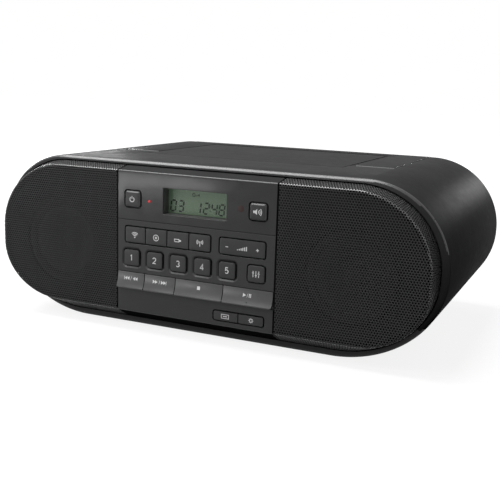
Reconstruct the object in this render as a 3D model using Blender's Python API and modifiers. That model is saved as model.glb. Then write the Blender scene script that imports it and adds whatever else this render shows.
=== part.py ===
"""A compact stereo boombox with a disc player, built as an assembly of separate pieces.

Metres, +Z up. The front faces -Y, and the origin is on the floor under the middle of the overall box.
"""

import math

import bmesh
import bpy
from mathutils import Matrix, Vector

MM = 0.001

# Overall sizes
BODY_WIDTH = 400 * MM
BODY_HEIGHT = 140 * MM
OVERALL_DEPTH = 261.6 * MM
FOOT_HEIGHT = 2 * MM
KEY_LIP = 3.5 * MM  # how far the transport keys stand out of the panel
FRONT_RISE = 13.7 * MM  # how far the grilles and panel stand out of the shell's rim
BATTERY_BULGE = 8 * MM  # how far the battery housing stands out of the rear face
GAP = 0.4 * MM  # between pieces that touch on the real object

FRONT_Y = -OVERALL_DEPTH / 2 + KEY_LIP
RIM_Y = FRONT_Y + FRONT_RISE
REAR_Y = OVERALL_DEPTH / 2 - BATTERY_BULGE
BOTTOM_Z = FOOT_HEIGHT
TOP_Z = BOTTOM_Z + BODY_HEIGHT

# Outlines seen from the front: half width, lowest and highest Z, and each corner's X and Z radius
SHELL_OUTER = (BODY_WIDTH / 2, BOTTOM_Z, TOP_Z, (66 * MM, 65 * MM), (87 * MM, 73 * MM))
SHELL_INNER = (196 * MM, 5 * MM, 139.6 * MM, (64 * MM, 62.6 * MM), (84 * MM, 70 * MM))
FRONT_ROOT = (194.6 * MM, 6.4 * MM, 138.6 * MM, (63.5 * MM, 61.6 * MM), (82.6 * MM, 68.6 * MM))
FRONT_EDGE = (190.6 * MM, 16.9 * MM, 135.4 * MM, (62.4 * MM, 58.4 * MM), (56.6 * MM, 46.6 * MM))
EDGE_ROUND = 1.5 * MM
ARC_STEPS = 12
RIM_ROUND = 2 * MM

# Front: grilles, panel and what stands behind them
GRILLE_SHEET = 1.2 * MM
GRILLE_INNER_X = 71.9 * MM
GRILLE_BACK_Y = RIM_Y + 4 * MM
PANEL_HALF = 70.6 * MM
PANEL_WALL = 3 * MM
BAFFLE_Y = FRONT_Y + 4 * MM
BAFFLE_PLATE = 4 * MM
BAFFLE_INSET = 4.2 * MM
BAFFLE_WALL = 2 * MM
BOARD_Y = BAFFLE_Y + BAFFLE_PLATE + GAP
BOARD_THICK = 1.6 * MM

# Drivers behind the grilles
DRIVER_X = 130 * MM
DRIVER_Z = 69 * MM
DRIVER_FLANGE_R = 43 * MM
DRIVER_HOLE_R = 37.5 * MM
CONE_R = 36.9 * MM

# Keys: width and height are those of the hole in the panel
KEY_SLACK = 0.6 * MM
KEY_ROUND = 3.2 * MM
KEY_FLANGE_Y = FRONT_Y + PANEL_WALL + GAP
KEY_FLANGE = 1 * MM
KEY_FLANGE_OVER = 1.2 * MM
SQUARE_KEY = (16.4 * MM, 15.2 * MM)
KEY_COLUMN_RIGHT = 55.6 * MM
POWER_KEY_AT = (-56.3 * MM, 112.2 * MM)
BOOST_KEY_AT = (KEY_COLUMN_RIGHT, 112.0 * MM)
SOUND_KEY_AT = (KEY_COLUMN_RIGHT, 63.3 * MM)
PRESET_FIRST_X = -57.1 * MM
PRESET_PITCH = 21.9 * MM
PRESET_Z = 63.2 * MM
PRESET_COUNT = 5
SOURCE_ROW = (-64.2 * MM, 16.2 * MM, 75.1 * MM, 90.1 * MM)  # left, right, low, high
SOURCE_COUNT = 4
SETUP_ROW = (18.6 * MM, 63.8 * MM, 20.8 * MM, 30.2 * MM)
SETUP_NAMES = ("display_key", "setup_key")
VOLUME_ROW = (22.5 * MM, 63.5 * MM, 75.1 * MM, 89.7 * MM)
ROCKER_FLANGE = 6 * MM  # half width, short so that the rocker can tilt
ROW_DIVIDE = 0.7 * MM  # gap between keys that share a hole
PROUD_KEY = 1.4 * MM  # power and boost keys stand out of the panel
FLUSH_KEY = 0.3 * MM
RAISED_KEY = 0.7 * MM  # preset and sound keys
TRANSPORT_Z = (37.2 * MM, 50.7 * MM)
TRANSPORT_SPLITS = (-70.6 * MM, -44.6 * MM, -15.6 * MM, 27.4 * MM, 70.6 * MM)
TRANSPORT_NAMES = ("skip_back_key", "skip_forward_key", "stop_key", "play_key")
TRANSPORT_BACK = 0.5 * MM
STEM = (10 * MM, 5 * MM)
SWITCH = (5 * MM, 1.9 * MM)  # side and height of a push switch
PLUNGER = (1.5 * MM, 0.6 * MM)  # radius and height of its plunger

# Display and lamp
WINDOW = (-28.4 * MM, 28.4 * MM, 102.2 * MM, 123.4 * MM)
DISPLAY_DEPTH = 9 * MM
LENS_THICK = 1.2 * MM
LAMP_AT = (-40.8 * MM, 111.5 * MM)
LAMP_R = 1.1 * MM

# Top deck, lid and handle
LID_HALF = 92.8 * MM
LID_FRONT_Y = -42.2 * MM
LID_PLATE = 2.8 * MM
LID_SKIRT_Z = 133 * MM
LID_HINGE = Vector((0, 95.4 * MM, 136.2 * MM))
LID_BARREL_R = 5.8 * MM
LID_SLACK = 0.5 * MM
TRUNNION_R = 2.4 * MM
DECK_FLOOR = (124.5 * MM, 127 * MM)
DECK_HALF = 134 * MM
DECK_Y = (-46.5 * MM, 119.4 * MM)
DECK_TOP_Z = 139.3 * MM
WEB = (93.3 * MM, 96.7 * MM)  # the strip between the lid and a handle arm
WEB_TOP_Z = 141.7 * MM
HANDLE_X = (97.2 * MM, 130.8 * MM)
HANDLE_FRONT_Y = -23.4 * MM
HANDLE_BAR_Y = 102.4 * MM
HANDLE_LOW_Z = 128.4 * MM
HANDLE_PIVOT = Vector((0, HANDLE_FRONT_Y + (TOP_Z - HANDLE_LOW_Z) / 2, (TOP_Z + HANDLE_LOW_Z) / 2))
PIVOT_PIN_R = 2 * MM
PIN_SLACK = 0.35 * MM
SCOOP = (45 * MM, 108.5 * MM, 113.5 * MM)  # finger scoop: half width, front Y, floor Z
SCOOP_WALL = 3 * MM

# Disc mechanism
DISC_AT = Vector((0, 29.5 * MM, 0))
DISC_SEAT_Z = 131 * MM
DISH_R = 61.5 * MM
TURNTABLE_R = 14 * MM
SPINDLE_R = 1.5 * MM
CHASSIS_Z = (118.3 * MM, 120.3 * MM)
CHASSIS_HALF = 40 * MM
CHASSIS_Y = (-49 * MM, 56 * MM)
SLED_HALF_X = 14 * MM
SLED_Y = (-5.5 * MM, 16.5 * MM)
SLED_Z = (113 * MM, 123.9 * MM)
SLED_TRAVEL = 34 * MM
RAIL_X = 11.5 * MM
RAIL_Z = 116 * MM
RAIL_R = 1.5 * MM
RAIL_Y = (-47 * MM, 22 * MM)
CLAMP_R = 15 * MM
CLAMP_Z = (132.6 * MM, 137.6 * MM)
LENS_R = 3 * MM

# Rear: cover, battery housing, aerial and sockets
REAR_PLATE = 3 * MM
BULGE = (-104 * MM, 104 * MM, 9 * MM, 93 * MM)
BAY = (-82 * MM, 82 * MM, 14.5 * MM, 87.5 * MM)
BAY_FRONT_Y = 68 * MM
BAY_WALL = 2 * MM
DOOR_OVER = 4 * MM
DOOR_THICK = 2.4 * MM
AERIAL_AT = Vector((150 * MM, REAR_Y + 4.4 * MM, 98.4 * MM))
AERIAL_KNUCKLE_R = 6 * MM
AERIAL_TILT_X = 141 * MM
AERIAL_TUBE_R = 3 * MM
AERIAL_BORES = (2.3 * MM, 1.5 * MM)
AERIAL_RODS = (2.0 * MM, 1.2 * MM)
AERIAL_END_X = -48 * MM
MAINS_AT = (152 * MM, 34 * MM)
MAINS_SIZE = (28 * MM, 20 * MM, 24 * MM)
MAINS_SOCKET = (18 * MM, 10 * MM, 14 * MM)
USB_AT = (-150 * MM, 62 * MM)
USB_SIZE = (17 * MM, 9 * MM, 18 * MM)
USB_SLOT = (12.6 * MM, 5.2 * MM, 13 * MM)
PHONES_AT = (-150 * MM, 40 * MM)
PHONES_R = (5 * MM, 1.8 * MM)
PHONES_LENGTH = 16 * MM

# Inside
MAIN_BOARD = ((-62 * MM, 62 * MM), -92 * MM, (5.4 * MM, 112 * MM))
TRANSFORMER_AT = Vector((-80 * MM, 36 * MM, 27.5 * MM))
FOOT_AT = (92 * MM, 78 * MM)
FOOT_R = 9 * MM
PEG_R = 3 * MM

# Base colour, roughness and metallic value of each finish
FINISHES = {
    "shell_plastic": ((0.045, 0.045, 0.047), 0.45, 0.0),
    "panel_plastic": ((0.04, 0.04, 0.042), 0.3, 0.0),
    "key_plastic": ((0.045, 0.045, 0.046), 0.42, 0.0),
    "transport_plastic": ((0.07, 0.07, 0.072), 0.4, 0.0),
    "grille_steel": ((0.03, 0.03, 0.03), 0.5, 0.6),
    "inner_plastic": ((0.02, 0.02, 0.02), 0.6, 0.0),
    "clear_plastic": ((0.8, 0.85, 0.8), 0.05, 0.0),
    "display_green": ((0.16, 0.25, 0.15), 0.3, 0.0),
    "lamp_red": ((0.6, 0.02, 0.02), 0.3, 0.0),
    "board_green": ((0.02, 0.12, 0.05), 0.5, 0.0),
    "cone_paper": ((0.02, 0.02, 0.02), 0.8, 0.0),
    "steel": ((0.55, 0.55, 0.56), 0.3, 1.0),
    "rubber": ((0.015, 0.015, 0.015), 0.8, 0.0),
}


# Modelling helpers


def clear_scene():
    for obj in list(bpy.data.objects):
        bpy.data.objects.remove(obj)


def new_collection(name):
    collection = bpy.data.collections.new(name)
    bpy.context.scene.collection.children.link(collection)
    return collection


def finish_material(name):
    material = bpy.data.materials.get(name)
    if material is None:
        colour, roughness, metallic = FINISHES[name]
        material = bpy.data.materials.new(name)
        material.use_nodes = True
        shader = material.node_tree.nodes["Principled BSDF"]
        shader.inputs["Base Color"].default_value = (*colour, 1)
        shader.inputs["Roughness"].default_value = roughness
        shader.inputs["Metallic"].default_value = metallic
    return material


def add_mesh(name, mesh, finish=None):
    """A visible piece when it has a finish, and otherwise a hidden cutter."""
    obj = bpy.data.objects.new(name, mesh)
    if finish is None:
        CUTTERS.objects.link(obj)
        obj.hide_render = True
        obj.display_type = "WIRE"
    else:
        PARTS.objects.link(obj)
        mesh.materials.append(finish_material(finish))
    return obj


def mesh_from(bm, name):
    mesh = bpy.data.meshes.new(name)
    bm.to_mesh(mesh)
    bm.free()
    return mesh


def box(name, low, high, finish=None):
    low = Vector(low)
    high = Vector(high)
    bm = bmesh.new()
    bmesh.ops.create_cube(bm, size=1)
    place = Matrix.Translation((low + high) / 2) @ Matrix.Diagonal((*(high - low), 1))
    bmesh.ops.transform(bm, matrix=place, verts=bm.verts)
    return add_mesh(name, mesh_from(bm, name), finish)


def axis_turn(axis):
    """The turn that takes local Z to the named axis and keeps a drawn outline upright."""
    columns = {
        "X": ((0, 1, 0), (0, 0, 1), (1, 0, 0)),
        "Y": ((1, 0, 0), (0, 0, 1), (0, -1, 0)),
        "Z": ((1, 0, 0), (0, 1, 0), (0, 0, 1)),
    }
    return Matrix(columns[axis]).transposed().to_4x4()


def cylinder(name, centre, axis, radius, length, finish=None, segments=24):
    bm = bmesh.new()
    bmesh.ops.create_cone(
        bm, cap_ends=True, segments=segments, radius1=radius, radius2=radius, depth=length
    )
    place = Matrix.Translation(centre) @ axis_turn(axis)
    bmesh.ops.transform(bm, matrix=place, verts=bm.verts)
    return add_mesh(name, mesh_from(bm, name), finish)


def prism(name, points, axis, low, high, finish=None):
    """A flat outline, drawn as a filled 2D curve, as thick as from low to high along the axis."""
    curve = bpy.data.curves.new(name, "CURVE")
    curve.dimensions = "2D"
    curve.fill_mode = "BOTH"
    curve.extrude = abs(high - low) / 2
    spline = curve.splines.new("POLY")
    spline.points.add(len(points) - 1)
    for spot, (u, v) in zip(spline.points, points):
        spot.co = (u, v, 0, 1)
    spline.use_cyclic_u = True
    drawn = bpy.data.objects.new(name + "_outline", curve)
    CUTTERS.objects.link(drawn)
    graph = bpy.context.evaluated_depsgraph_get()
    mesh = bpy.data.meshes.new_from_object(drawn.evaluated_get(graph))
    bpy.data.objects.remove(drawn)
    along = {"X": (1, 0, 0), "Y": (0, 1, 0), "Z": (0, 0, 1)}[axis]
    place = Matrix.Translation(Vector(along) * (low + high) / 2) @ axis_turn(axis)
    bm = bmesh.new()
    bm.from_mesh(mesh)
    bmesh.ops.remove_doubles(bm, verts=bm.verts, dist=0.001 * MM)
    flat = math.radians(0.5)
    bmesh.ops.dissolve_limit(bm, angle_limit=flat, verts=bm.verts, edges=bm.edges)
    bmesh.ops.recalc_face_normals(bm, faces=bm.faces)
    bmesh.ops.transform(bm, matrix=place, verts=bm.verts)
    mesh.materials.clear()
    bm.to_mesh(mesh)
    bm.free()
    return add_mesh(name, mesh, finish)


def turned(name, profile, centre, axis, finish=None, steps=32, ring=False):
    """A profile of (radius, height) points, outer side downwards, turned about the axis."""
    bm = bmesh.new()
    verts = [bm.verts.new((radius, 0, height)) for radius, height in profile]
    ends = zip(verts, verts[1:] + verts[:1]) if ring else zip(verts, verts[1:])
    for pair in ends:
        bm.edges.new(pair)
    obj = add_mesh(name, mesh_from(bm, name), finish)
    screw = obj.modifiers.new("turn", "SCREW")
    screw.steps = steps
    screw.render_steps = steps
    screw.use_merge_vertices = True
    screw.merge_threshold = 0.01 * MM
    obj.matrix_world = Matrix.Translation(centre) @ axis_turn(axis)
    return obj


def boolean(target, operation, others):
    for other in others:
        modifier = target.modifiers.new(operation.lower(), "BOOLEAN")
        modifier.operation = operation
        modifier.object = other


def cut(target, *cutters):
    boolean(target, "DIFFERENCE", cutters)


def fuse(target, *others):
    boolean(target, "UNION", others)


def round_edges(obj, width, segments=2, angle=50):
    bevel = obj.modifiers.new("round", "BEVEL")
    bevel.width = width
    bevel.segments = segments
    bevel.limit_method = "ANGLE"
    bevel.angle_limit = math.radians(angle)


def set_origin(obj, point):
    """Moves the object's origin onto its joint's axis and leaves its shape in place."""
    shift = Matrix.Translation(-Vector(point))
    obj.data.transform(shift @ obj.matrix_world)
    obj.matrix_world = Matrix.Translation(point)


def arc(centre, radii, start, steps=ARC_STEPS):
    """A quarter of an ellipse, anticlockwise from the start angle in degrees."""
    for step in range(steps + 1):
        angle = math.radians(start + 90 * step / steps)
        yield (
            centre[0] + radii[0] * math.cos(angle),
            centre[1] + radii[1] * math.sin(angle),
        )


def outline(sizes, inset=0.0, steps=ARC_STEPS):
    """The points of a body outline, anticlockwise from the bottom right corner."""
    half, low, high, top, foot = sizes
    top_at = (half - top[0], high - top[1])
    foot_at = (half - foot[0], low + foot[1])
    top = (top[0] - inset, top[1] - inset)
    foot = (foot[0] - inset, foot[1] - inset)
    points = list(arc(foot_at, foot, -90, steps))
    points += arc(top_at, top, 0, steps)
    points += arc((-top_at[0], top_at[1]), top, 90, steps)
    points += arc((-foot_at[0], foot_at[1]), foot, 180, steps)
    return points


def rounded_rectangle(left, right, low, high, left_round, right_round, steps=3):
    points = list(arc((right - right_round, low + right_round), (right_round,) * 2, -90, steps))
    points += arc((right - right_round, high - right_round), (right_round,) * 2, 0, steps)
    points += arc((left + left_round, high - left_round), (left_round,) * 2, 90, steps)
    points += arc((left + left_round, low + left_round), (left_round,) * 2, 180, steps)
    return points


def front_surface():
    """The open skin over the whole front: side wall, rounded edge and flat face."""
    sections = (
        (GRILLE_BACK_Y, outline(FRONT_ROOT)),
        (FRONT_Y + EDGE_ROUND, outline(FRONT_EDGE)),
        (FRONT_Y + 0.3 * EDGE_ROUND, outline(FRONT_EDGE, 0.3 * EDGE_ROUND)),
        (FRONT_Y, outline(FRONT_EDGE, EDGE_ROUND)),
    )
    bm = bmesh.new()
    loops = []
    for y, points in sections:
        ring = [bm.verts.new((x, y, z)) for x, z in points]
        loops.append([bm.edges.new(pair) for pair in zip(ring, ring[1:] + ring[:1])])
    for first, second in zip(loops, loops[1:]):
        bmesh.ops.bridge_loops(bm, edges=first + second)
    bmesh.ops.contextual_create(bm, geom=loops[-1])
    bmesh.ops.recalc_face_normals(bm, faces=bm.faces)
    return bm


def keep_between(bm, low_x, high_x):
    """Trims an open skin to a band in X."""
    for x, outward in ((low_x, -1), (high_x, 1)):
        bmesh.ops.bisect_plane(
            bm,
            geom=bm.verts[:] + bm.edges[:] + bm.faces[:],
            plane_co=(x, 0, 0),
            plane_no=(outward, 0, 0),
            clear_outer=True,
        )


def front_piece(name, low_x, high_x, thickness, finish):
    """The part of the front skin between two X values, as a closed shell."""
    bm = front_surface()
    keep_between(bm, low_x, high_x)
    outwards = min(bm.faces, key=lambda face: face.calc_center_median().y)
    if outwards.normal.y > 0:
        bmesh.ops.reverse_faces(bm, faces=bm.faces)
    obj = add_mesh(name, mesh_from(bm, name), finish)
    solidify = obj.modifiers.new("wall", "SOLIDIFY")
    solidify.thickness = thickness
    solidify.offset = -1
    solidify.use_even_offset = True
    return obj


# Cabinet


def make_shell():
    shell = prism("main_shell", outline(SHELL_OUTER), "Y", RIM_Y, REAR_Y, "shell_plastic")
    round_edges(shell, RIM_ROUND)
    past = 20 * MM
    inside = prism("shell_inside", outline(SHELL_INNER), "Y", RIM_Y - past, REAR_Y + past)
    top_cut = (DECK_FLOOR[1] + GAP, TOP_Z + past)
    lid_cut = box(
        "shell_lid_cut",
        (-WEB[0], LID_FRONT_Y - LID_SLACK, top_cut[0]),
        (WEB[0], REAR_Y + past, top_cut[1]),
    )
    arm_edge = HANDLE_X[1] + 2 * GAP
    arm_cut = box(
        "shell_arm_cut",
        (-arm_edge, HANDLE_FRONT_Y - 0.6 * MM, top_cut[0]),
        (arm_edge, REAR_Y + past, top_cut[1]),
    )
    cut(shell, inside, lid_cut, arm_cut)
    for x, y in foot_places():
        cut(shell, cylinder("shell_peg_hole", (x, y, 4 * MM), "Z", PEG_R + PIN_SLACK, past))


def foot_places():
    return [(x * FOOT_AT[0], y * FOOT_AT[1]) for y in (-1, 1) for x in (-1, 1)]


def make_feet():
    names = ("front_left_foot", "front_right_foot", "rear_left_foot", "rear_right_foot")
    for name, (x, y) in zip(names, foot_places()):
        top = FOOT_HEIGHT - GAP / 2
        profile = [
            (0, 6 * MM),
            (PEG_R, 6 * MM),
            (PEG_R, top),
            (FOOT_R, top),
            (FOOT_R, 0.6 * MM),
            (FOOT_R - 0.6 * MM, 0),
            (0, 0),
        ]
        turned(name, profile, (x, y, 0), "Z", "rubber", steps=20)


def make_rear_cover():
    y_low = REAR_Y - REAR_PLATE
    cover = prism(
        "rear_cover", outline(SHELL_INNER, 1.2 * GAP), "Y", y_low, REAR_Y, "shell_plastic"
    )
    left, right, low, high = BULGE
    bulge = box("cover_bulge", (left, y_low, low), (right, REAR_Y + BATTERY_BULGE, high))
    round_edges(bulge, 1.5 * MM)
    fuse(cover, bulge)
    past = 20 * MM
    edge = HANDLE_X[1] + 2 * GAP
    notch_z = DECK_FLOOR[1] - GAP
    handle_notch = box("cover_notch", (-edge, y_low - past, notch_z), (edge, REAR_Y + past, TOP_Z))
    scoop_half = SCOOP[0] + GAP
    scoop = box(
        "cover_scoop",
        (-scoop_half, y_low - past, SCOOP[2] - GAP),
        (scoop_half, REAR_Y + past, TOP_Z),
    )
    left, right, low, high = BAY
    bay = box("cover_bay", (left, y_low - past, low), (right, REAR_Y + past, high))
    over = DOOR_OVER + GAP
    door_low_y = REAR_Y + BATTERY_BULGE - DOOR_THICK - GAP
    rebate = box(
        "cover_rebate",
        (left - over, door_low_y, low - over),
        (right + over, REAR_Y + past, high + over),
    )
    cut(cover, handle_notch, scoop, bay, rebate)
    for (x, z), size in ((MAINS_AT, MAINS_SIZE), (USB_AT, USB_SIZE)):
        half_x = size[0] / 2 + GAP
        half_z = size[1] / 2 + GAP
        hole = box(
            "cover_socket_hole",
            (x - half_x, y_low - past, z - half_z),
            (x + half_x, REAR_Y + past, z + half_z),
        )
        cut(cover, hole)
    at = (PHONES_AT[0], REAR_Y, PHONES_AT[1])
    cut(cover, cylinder("cover_phones_hole", at, "Y", PHONES_R[0] + GAP, past))


def make_battery_bay():
    left, right, low, high = BAY
    wall = BAY_WALL
    end_y = REAR_Y - REAR_PLATE - GAP
    bay = box(
        "battery_bay",
        (left - wall, BAY_FRONT_Y, low - wall),
        (right + wall, end_y, high + wall),
        "inner_plastic",
    )
    past = 10 * MM
    hollow = box("bay_hollow", (left, BAY_FRONT_Y + wall, low), (right, end_y + past, high))
    cut(bay, hollow)


def make_battery_door():
    left, right, low, high = BAY
    y_low = REAR_Y + BATTERY_BULGE - DOOR_THICK
    door = box(
        "battery_door",
        (left - DOOR_OVER, y_low, low - DOOR_OVER),
        (right + DOOR_OVER, REAR_Y + BATTERY_BULGE, high + DOOR_OVER),
        "shell_plastic",
    )
    round_edges(door, 0.6 * MM, segments=1)
    tongue = 14 * MM
    reach = 6 * MM
    for side in (-1, 1):
        at = side * (right / 2)
        tab = box(
            "door_tab",
            (at - tongue / 2, y_low - reach, high - 2.4 * MM),
            (at + tongue / 2, y_low + 1 * MM, high - GAP),
        )
        fuse(door, tab)
    set_origin(door, (0, y_low, (low + high) / 2))


def make_sockets():
    y_low = REAR_Y - REAR_PLATE
    face_y = REAR_Y - GAP
    for name, (x, z), size, slot in (
        ("mains_inlet", MAINS_AT, MAINS_SIZE, MAINS_SOCKET),
        ("usb_socket", USB_AT, USB_SIZE, USB_SLOT),
    ):
        body = box(
            name,
            (x - size[0] / 2, face_y - size[2], z - size[1] / 2),
            (x + size[0] / 2, face_y, z + size[1] / 2),
            "inner_plastic",
        )
        hole = prism(
            name + "_slot",
            rounded_rectangle(
                x - slot[0] / 2,
                x + slot[0] / 2,
                z - slot[1] / 2,
                z + slot[1] / 2,
                0.4 * slot[1] if name == "mains_inlet" else 0.3 * MM,
                0.4 * slot[1] if name == "mains_inlet" else 0.3 * MM,
            ),
            "Y",
            face_y - slot[2],
            face_y + slot[2],
        )
        cut(body, hole)
    outer, inner = PHONES_R
    profile = [
        (outer, 0),
        (outer, -PHONES_LENGTH),
        (inner, -PHONES_LENGTH),
        (inner, 0),
    ]
    at = (PHONES_AT[0], y_low + REAR_PLATE - GAP - PHONES_LENGTH, PHONES_AT[1])
    turned("phones_socket", profile, at, "Y", "inner_plastic", steps=20, ring=True)


# Front


def make_grilles():
    far = BODY_WIDTH
    for name, low, high in (
        ("left_grille", -far, -GRILLE_INNER_X),
        ("right_grille", GRILLE_INNER_X, far),
    ):
        front_piece(name, low, high, GRILLE_SHEET, "grille_steel")


def make_baffle():
    """Speaker board with a wall round it and a flange that meets the shell."""
    flange_y = (RIM_Y + 6.5 * MM, RIM_Y + 9.5 * MM)
    inset = BAFFLE_INSET
    baffle = prism(
        "front_baffle", outline(FRONT_EDGE, inset), "Y", BAFFLE_Y, flange_y[1], "inner_plastic"
    )
    flange = prism("baffle_flange", outline(SHELL_INNER, 1.2 * GAP), "Y", *flange_y)
    fuse(baffle, flange)
    past = 20 * MM
    hollow = prism(
        "baffle_hollow",
        outline(FRONT_EDGE, inset + BAFFLE_WALL),
        "Y",
        BAFFLE_Y + BAFFLE_PLATE,
        flange_y[1] + past,
    )
    key_hole = box(
        "baffle_key_hole",
        (-67.4 * MM, BAFFLE_Y - past, 19 * MM),
        (67.4 * MM, BAFFLE_Y + BAFFLE_PLATE + 0.6 * MM, 127.5 * MM),
    )
    cut(baffle, hollow, key_hole)
    for side in (-1, 1):
        at = (side * DRIVER_X, BAFFLE_Y, DRIVER_Z)
        cut(baffle, cylinder("baffle_driver_hole", at, "Y", DRIVER_HOLE_R, past, segments=40))


def hole_in_panel(left, right, low, high, corner, depth=10 * MM):
    points = rounded_rectangle(left, right, low, high, corner, corner)
    return prism("panel_hole", points, "Y", FRONT_Y - depth, FRONT_Y + depth)


def square_keys():
    """Name, centre and height above the panel of each square key."""
    yield "power_key", POWER_KEY_AT, PROUD_KEY
    yield "boost_key", BOOST_KEY_AT, PROUD_KEY
    yield "sound_key", SOUND_KEY_AT, RAISED_KEY
    for number in range(PRESET_COUNT):
        at = (PRESET_FIRST_X + number * PRESET_PITCH, PRESET_Z)
        yield f"preset_key_{number + 1}", at, RAISED_KEY


def row_keys():
    """Name and left and right edge of each key that shares a hole, with the hole."""
    source_names = [f"source_key_{n + 1}" for n in range(SOURCE_COUNT)]
    for names, hole in ((source_names, SOURCE_ROW), (SETUP_NAMES, SETUP_ROW)):
        width = (hole[1] - hole[0]) / len(names)
        for number, name in enumerate(names):
            left = hole[0] + number * width
            yield name, left, left + width, hole


def make_panel():
    panel = front_piece("control_panel", -PANEL_HALF, PANEL_HALF, PANEL_WALL, "panel_plastic")
    width, height = SQUARE_KEY
    for _, (x, z), _ in square_keys():
        hole = hole_in_panel(
            x - width / 2, x + width / 2, z - height / 2, z + height / 2, KEY_ROUND
        )
        cut(panel, hole)
    for hole in (SOURCE_ROW, SETUP_ROW, VOLUME_ROW):
        cut(panel, hole_in_panel(*hole, KEY_ROUND * 0.8))
    cut(panel, hole_in_panel(*WINDOW, 0.8 * MM))
    lamp_at = (LAMP_AT[0], FRONT_Y, LAMP_AT[1])
    cut(panel, cylinder("panel_lamp_hole", lamp_at, "Y", LAMP_R + GAP, 20 * MM, segments=16))
    low, high = TRANSPORT_Z
    recess_y = FRONT_Y + 1.9 * MM
    recess = box(
        "panel_recess",
        (-PANEL_HALF - 5 * MM, FRONT_Y - 9 * MM, low - KEY_SLACK),
        (PANEL_HALF + 5 * MM, recess_y, high + KEY_SLACK),
    )
    cut(panel, recess)
    for left, right in zip(TRANSPORT_SPLITS, TRANSPORT_SPLITS[1:]):
        x = (left + right) / 2
        z = (low + high) / 2
        half_x = STEM[0] / 2 + KEY_SLACK
        half_z = STEM[1] / 2 + KEY_SLACK
        cut(panel, hole_in_panel(x - half_x, x + half_x, z - half_z, z + half_z, 0.5 * MM))


def key_body(name, left, right, low, high, rounds, proud, flange_x):
    """A key cap with a flange behind the panel that keeps it in its hole."""
    slack = KEY_SLACK
    points = rounded_rectangle(left, right, low + slack, high - slack, *rounds)
    back_y = KEY_FLANGE_Y + KEY_FLANGE / 2
    key = prism(name, points, "Y", FRONT_Y - proud, back_y, "key_plastic")
    round_edges(key, 0.5 * MM, segments=2, angle=60)
    over = KEY_FLANGE_OVER
    flange = box(
        name + "_flange",
        (flange_x[0], KEY_FLANGE_Y, low - over),
        (flange_x[1], KEY_FLANGE_Y + KEY_FLANGE, high + over),
    )
    fuse(key, flange)
    return key


def make_keys():
    width, height = SQUARE_KEY
    for name, (x, z), proud in square_keys():
        half = width / 2 - KEY_SLACK
        corner = KEY_ROUND - KEY_SLACK
        sizes = (x - half, x + half, z - height / 2, z + height / 2)
        reach = width / 2 + KEY_FLANGE_OVER
        key = key_body(name, *sizes, (corner, corner), proud, (x - reach, x + reach))
        set_origin(key, (x, FRONT_Y, z))
    small = 0.4 * MM
    outer = KEY_ROUND * 0.8 - KEY_SLACK
    for name, left, right, hole in row_keys():
        first = left <= hole[0] + GAP
        last = right >= hole[1] - GAP
        left += KEY_SLACK if first else ROW_DIVIDE / 2
        right -= KEY_SLACK if last else ROW_DIVIDE / 2
        rounds = (outer if first else small, outer if last else small)
        flange_x = (left - KEY_FLANGE_OVER * first, right + KEY_FLANGE_OVER * last)
        key = key_body(name, left, right, *hole[2:], rounds, FLUSH_KEY, flange_x)
        set_origin(key, ((left + right) / 2, FRONT_Y, (hole[2] + hole[3]) / 2))
    left, right, low, high = VOLUME_ROW
    middle = (left + right) / 2
    sizes = (left + KEY_SLACK, right - KEY_SLACK, low, high)
    flange_x = (middle - ROCKER_FLANGE, middle + ROCKER_FLANGE)
    rocker = key_body("volume_rocker", *sizes, (outer, outer), FLUSH_KEY, flange_x)
    set_origin(rocker, (middle, FRONT_Y + PANEL_WALL, (low + high) / 2))


def make_transport_keys():
    """Four wedges whose lower lip stands out over the panel."""
    low, high = TRANSPORT_Z
    lip_y = FRONT_Y - KEY_LIP
    back_y = FRONT_Y + TRANSPORT_BACK
    wedge = [
        (back_y, low),
        (back_y, high),
        (FRONT_Y - 0.2 * MM, high),
        (lip_y + 0.3 * MM, low + 2.4 * MM),
        (lip_y, low + 1.2 * MM),
        (lip_y + 0.5 * MM, low + 0.2 * MM),
        (lip_y + 1.2 * MM, low),
    ]
    wedge.reverse()
    edges = zip(TRANSPORT_NAMES, TRANSPORT_SPLITS, TRANSPORT_SPLITS[1:])
    for name, left, right in edges:
        x = (left + right) / 2
        z = (low + high) / 2
        gap = ROW_DIVIDE / 2
        key = prism(name, wedge, "X", left + gap, right - gap, "transport_plastic")
        stem = box(
            name + "_stem",
            (x - STEM[0] / 2, back_y - 1 * MM, z - STEM[1] / 2),
            (x + STEM[0] / 2, KEY_FLANGE_Y + KEY_FLANGE, z + STEM[1] / 2),
        )
        fuse(key, stem)
        set_origin(key, (x, FRONT_Y, z))


def switch_places():
    for _, (x, z), _ in square_keys():
        yield x, z
    for _, left, right, hole in row_keys():
        yield (left + right) / 2, max((hole[2] + hole[3]) / 2, 27.2 * MM)
    left, right, low, high = VOLUME_ROW
    for share in (0.2, 0.8):
        yield left + share * (right - left), (low + high) / 2
    for left, right in zip(TRANSPORT_SPLITS, TRANSPORT_SPLITS[1:]):
        yield (left + right) / 2, sum(TRANSPORT_Z) / 2


def make_key_board():
    """Circuit board behind the panel with a push switch behind each key."""
    board = box(
        "key_board",
        (-70.5 * MM, BOARD_Y, 24.6 * MM),
        (70.5 * MM, BOARD_Y + BOARD_THICK, 127.6 * MM),
        "board_green",
    )
    window = box(
        "board_window",
        (-32 * MM, BOARD_Y - 9 * MM, 99 * MM),
        (32 * MM, BOARD_Y + 9 * MM, 126.4 * MM),
    )
    cut(board, window)
    side, height = SWITCH
    sunk = BOARD_Y + BOARD_THICK / 2
    for x, z in switch_places():
        body = box(
            "switch",
            (x - side / 2, BOARD_Y - height, z - side / 2),
            (x + side / 2, sunk, z + side / 2),
        )
        radius, rise = PLUNGER
        middle = (x, BOARD_Y - (height + rise) / 2, z)
        plunger = cylinder("plunger", middle, "Y", radius, height + rise, segments=8)
        fuse(board, body, plunger)


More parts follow.
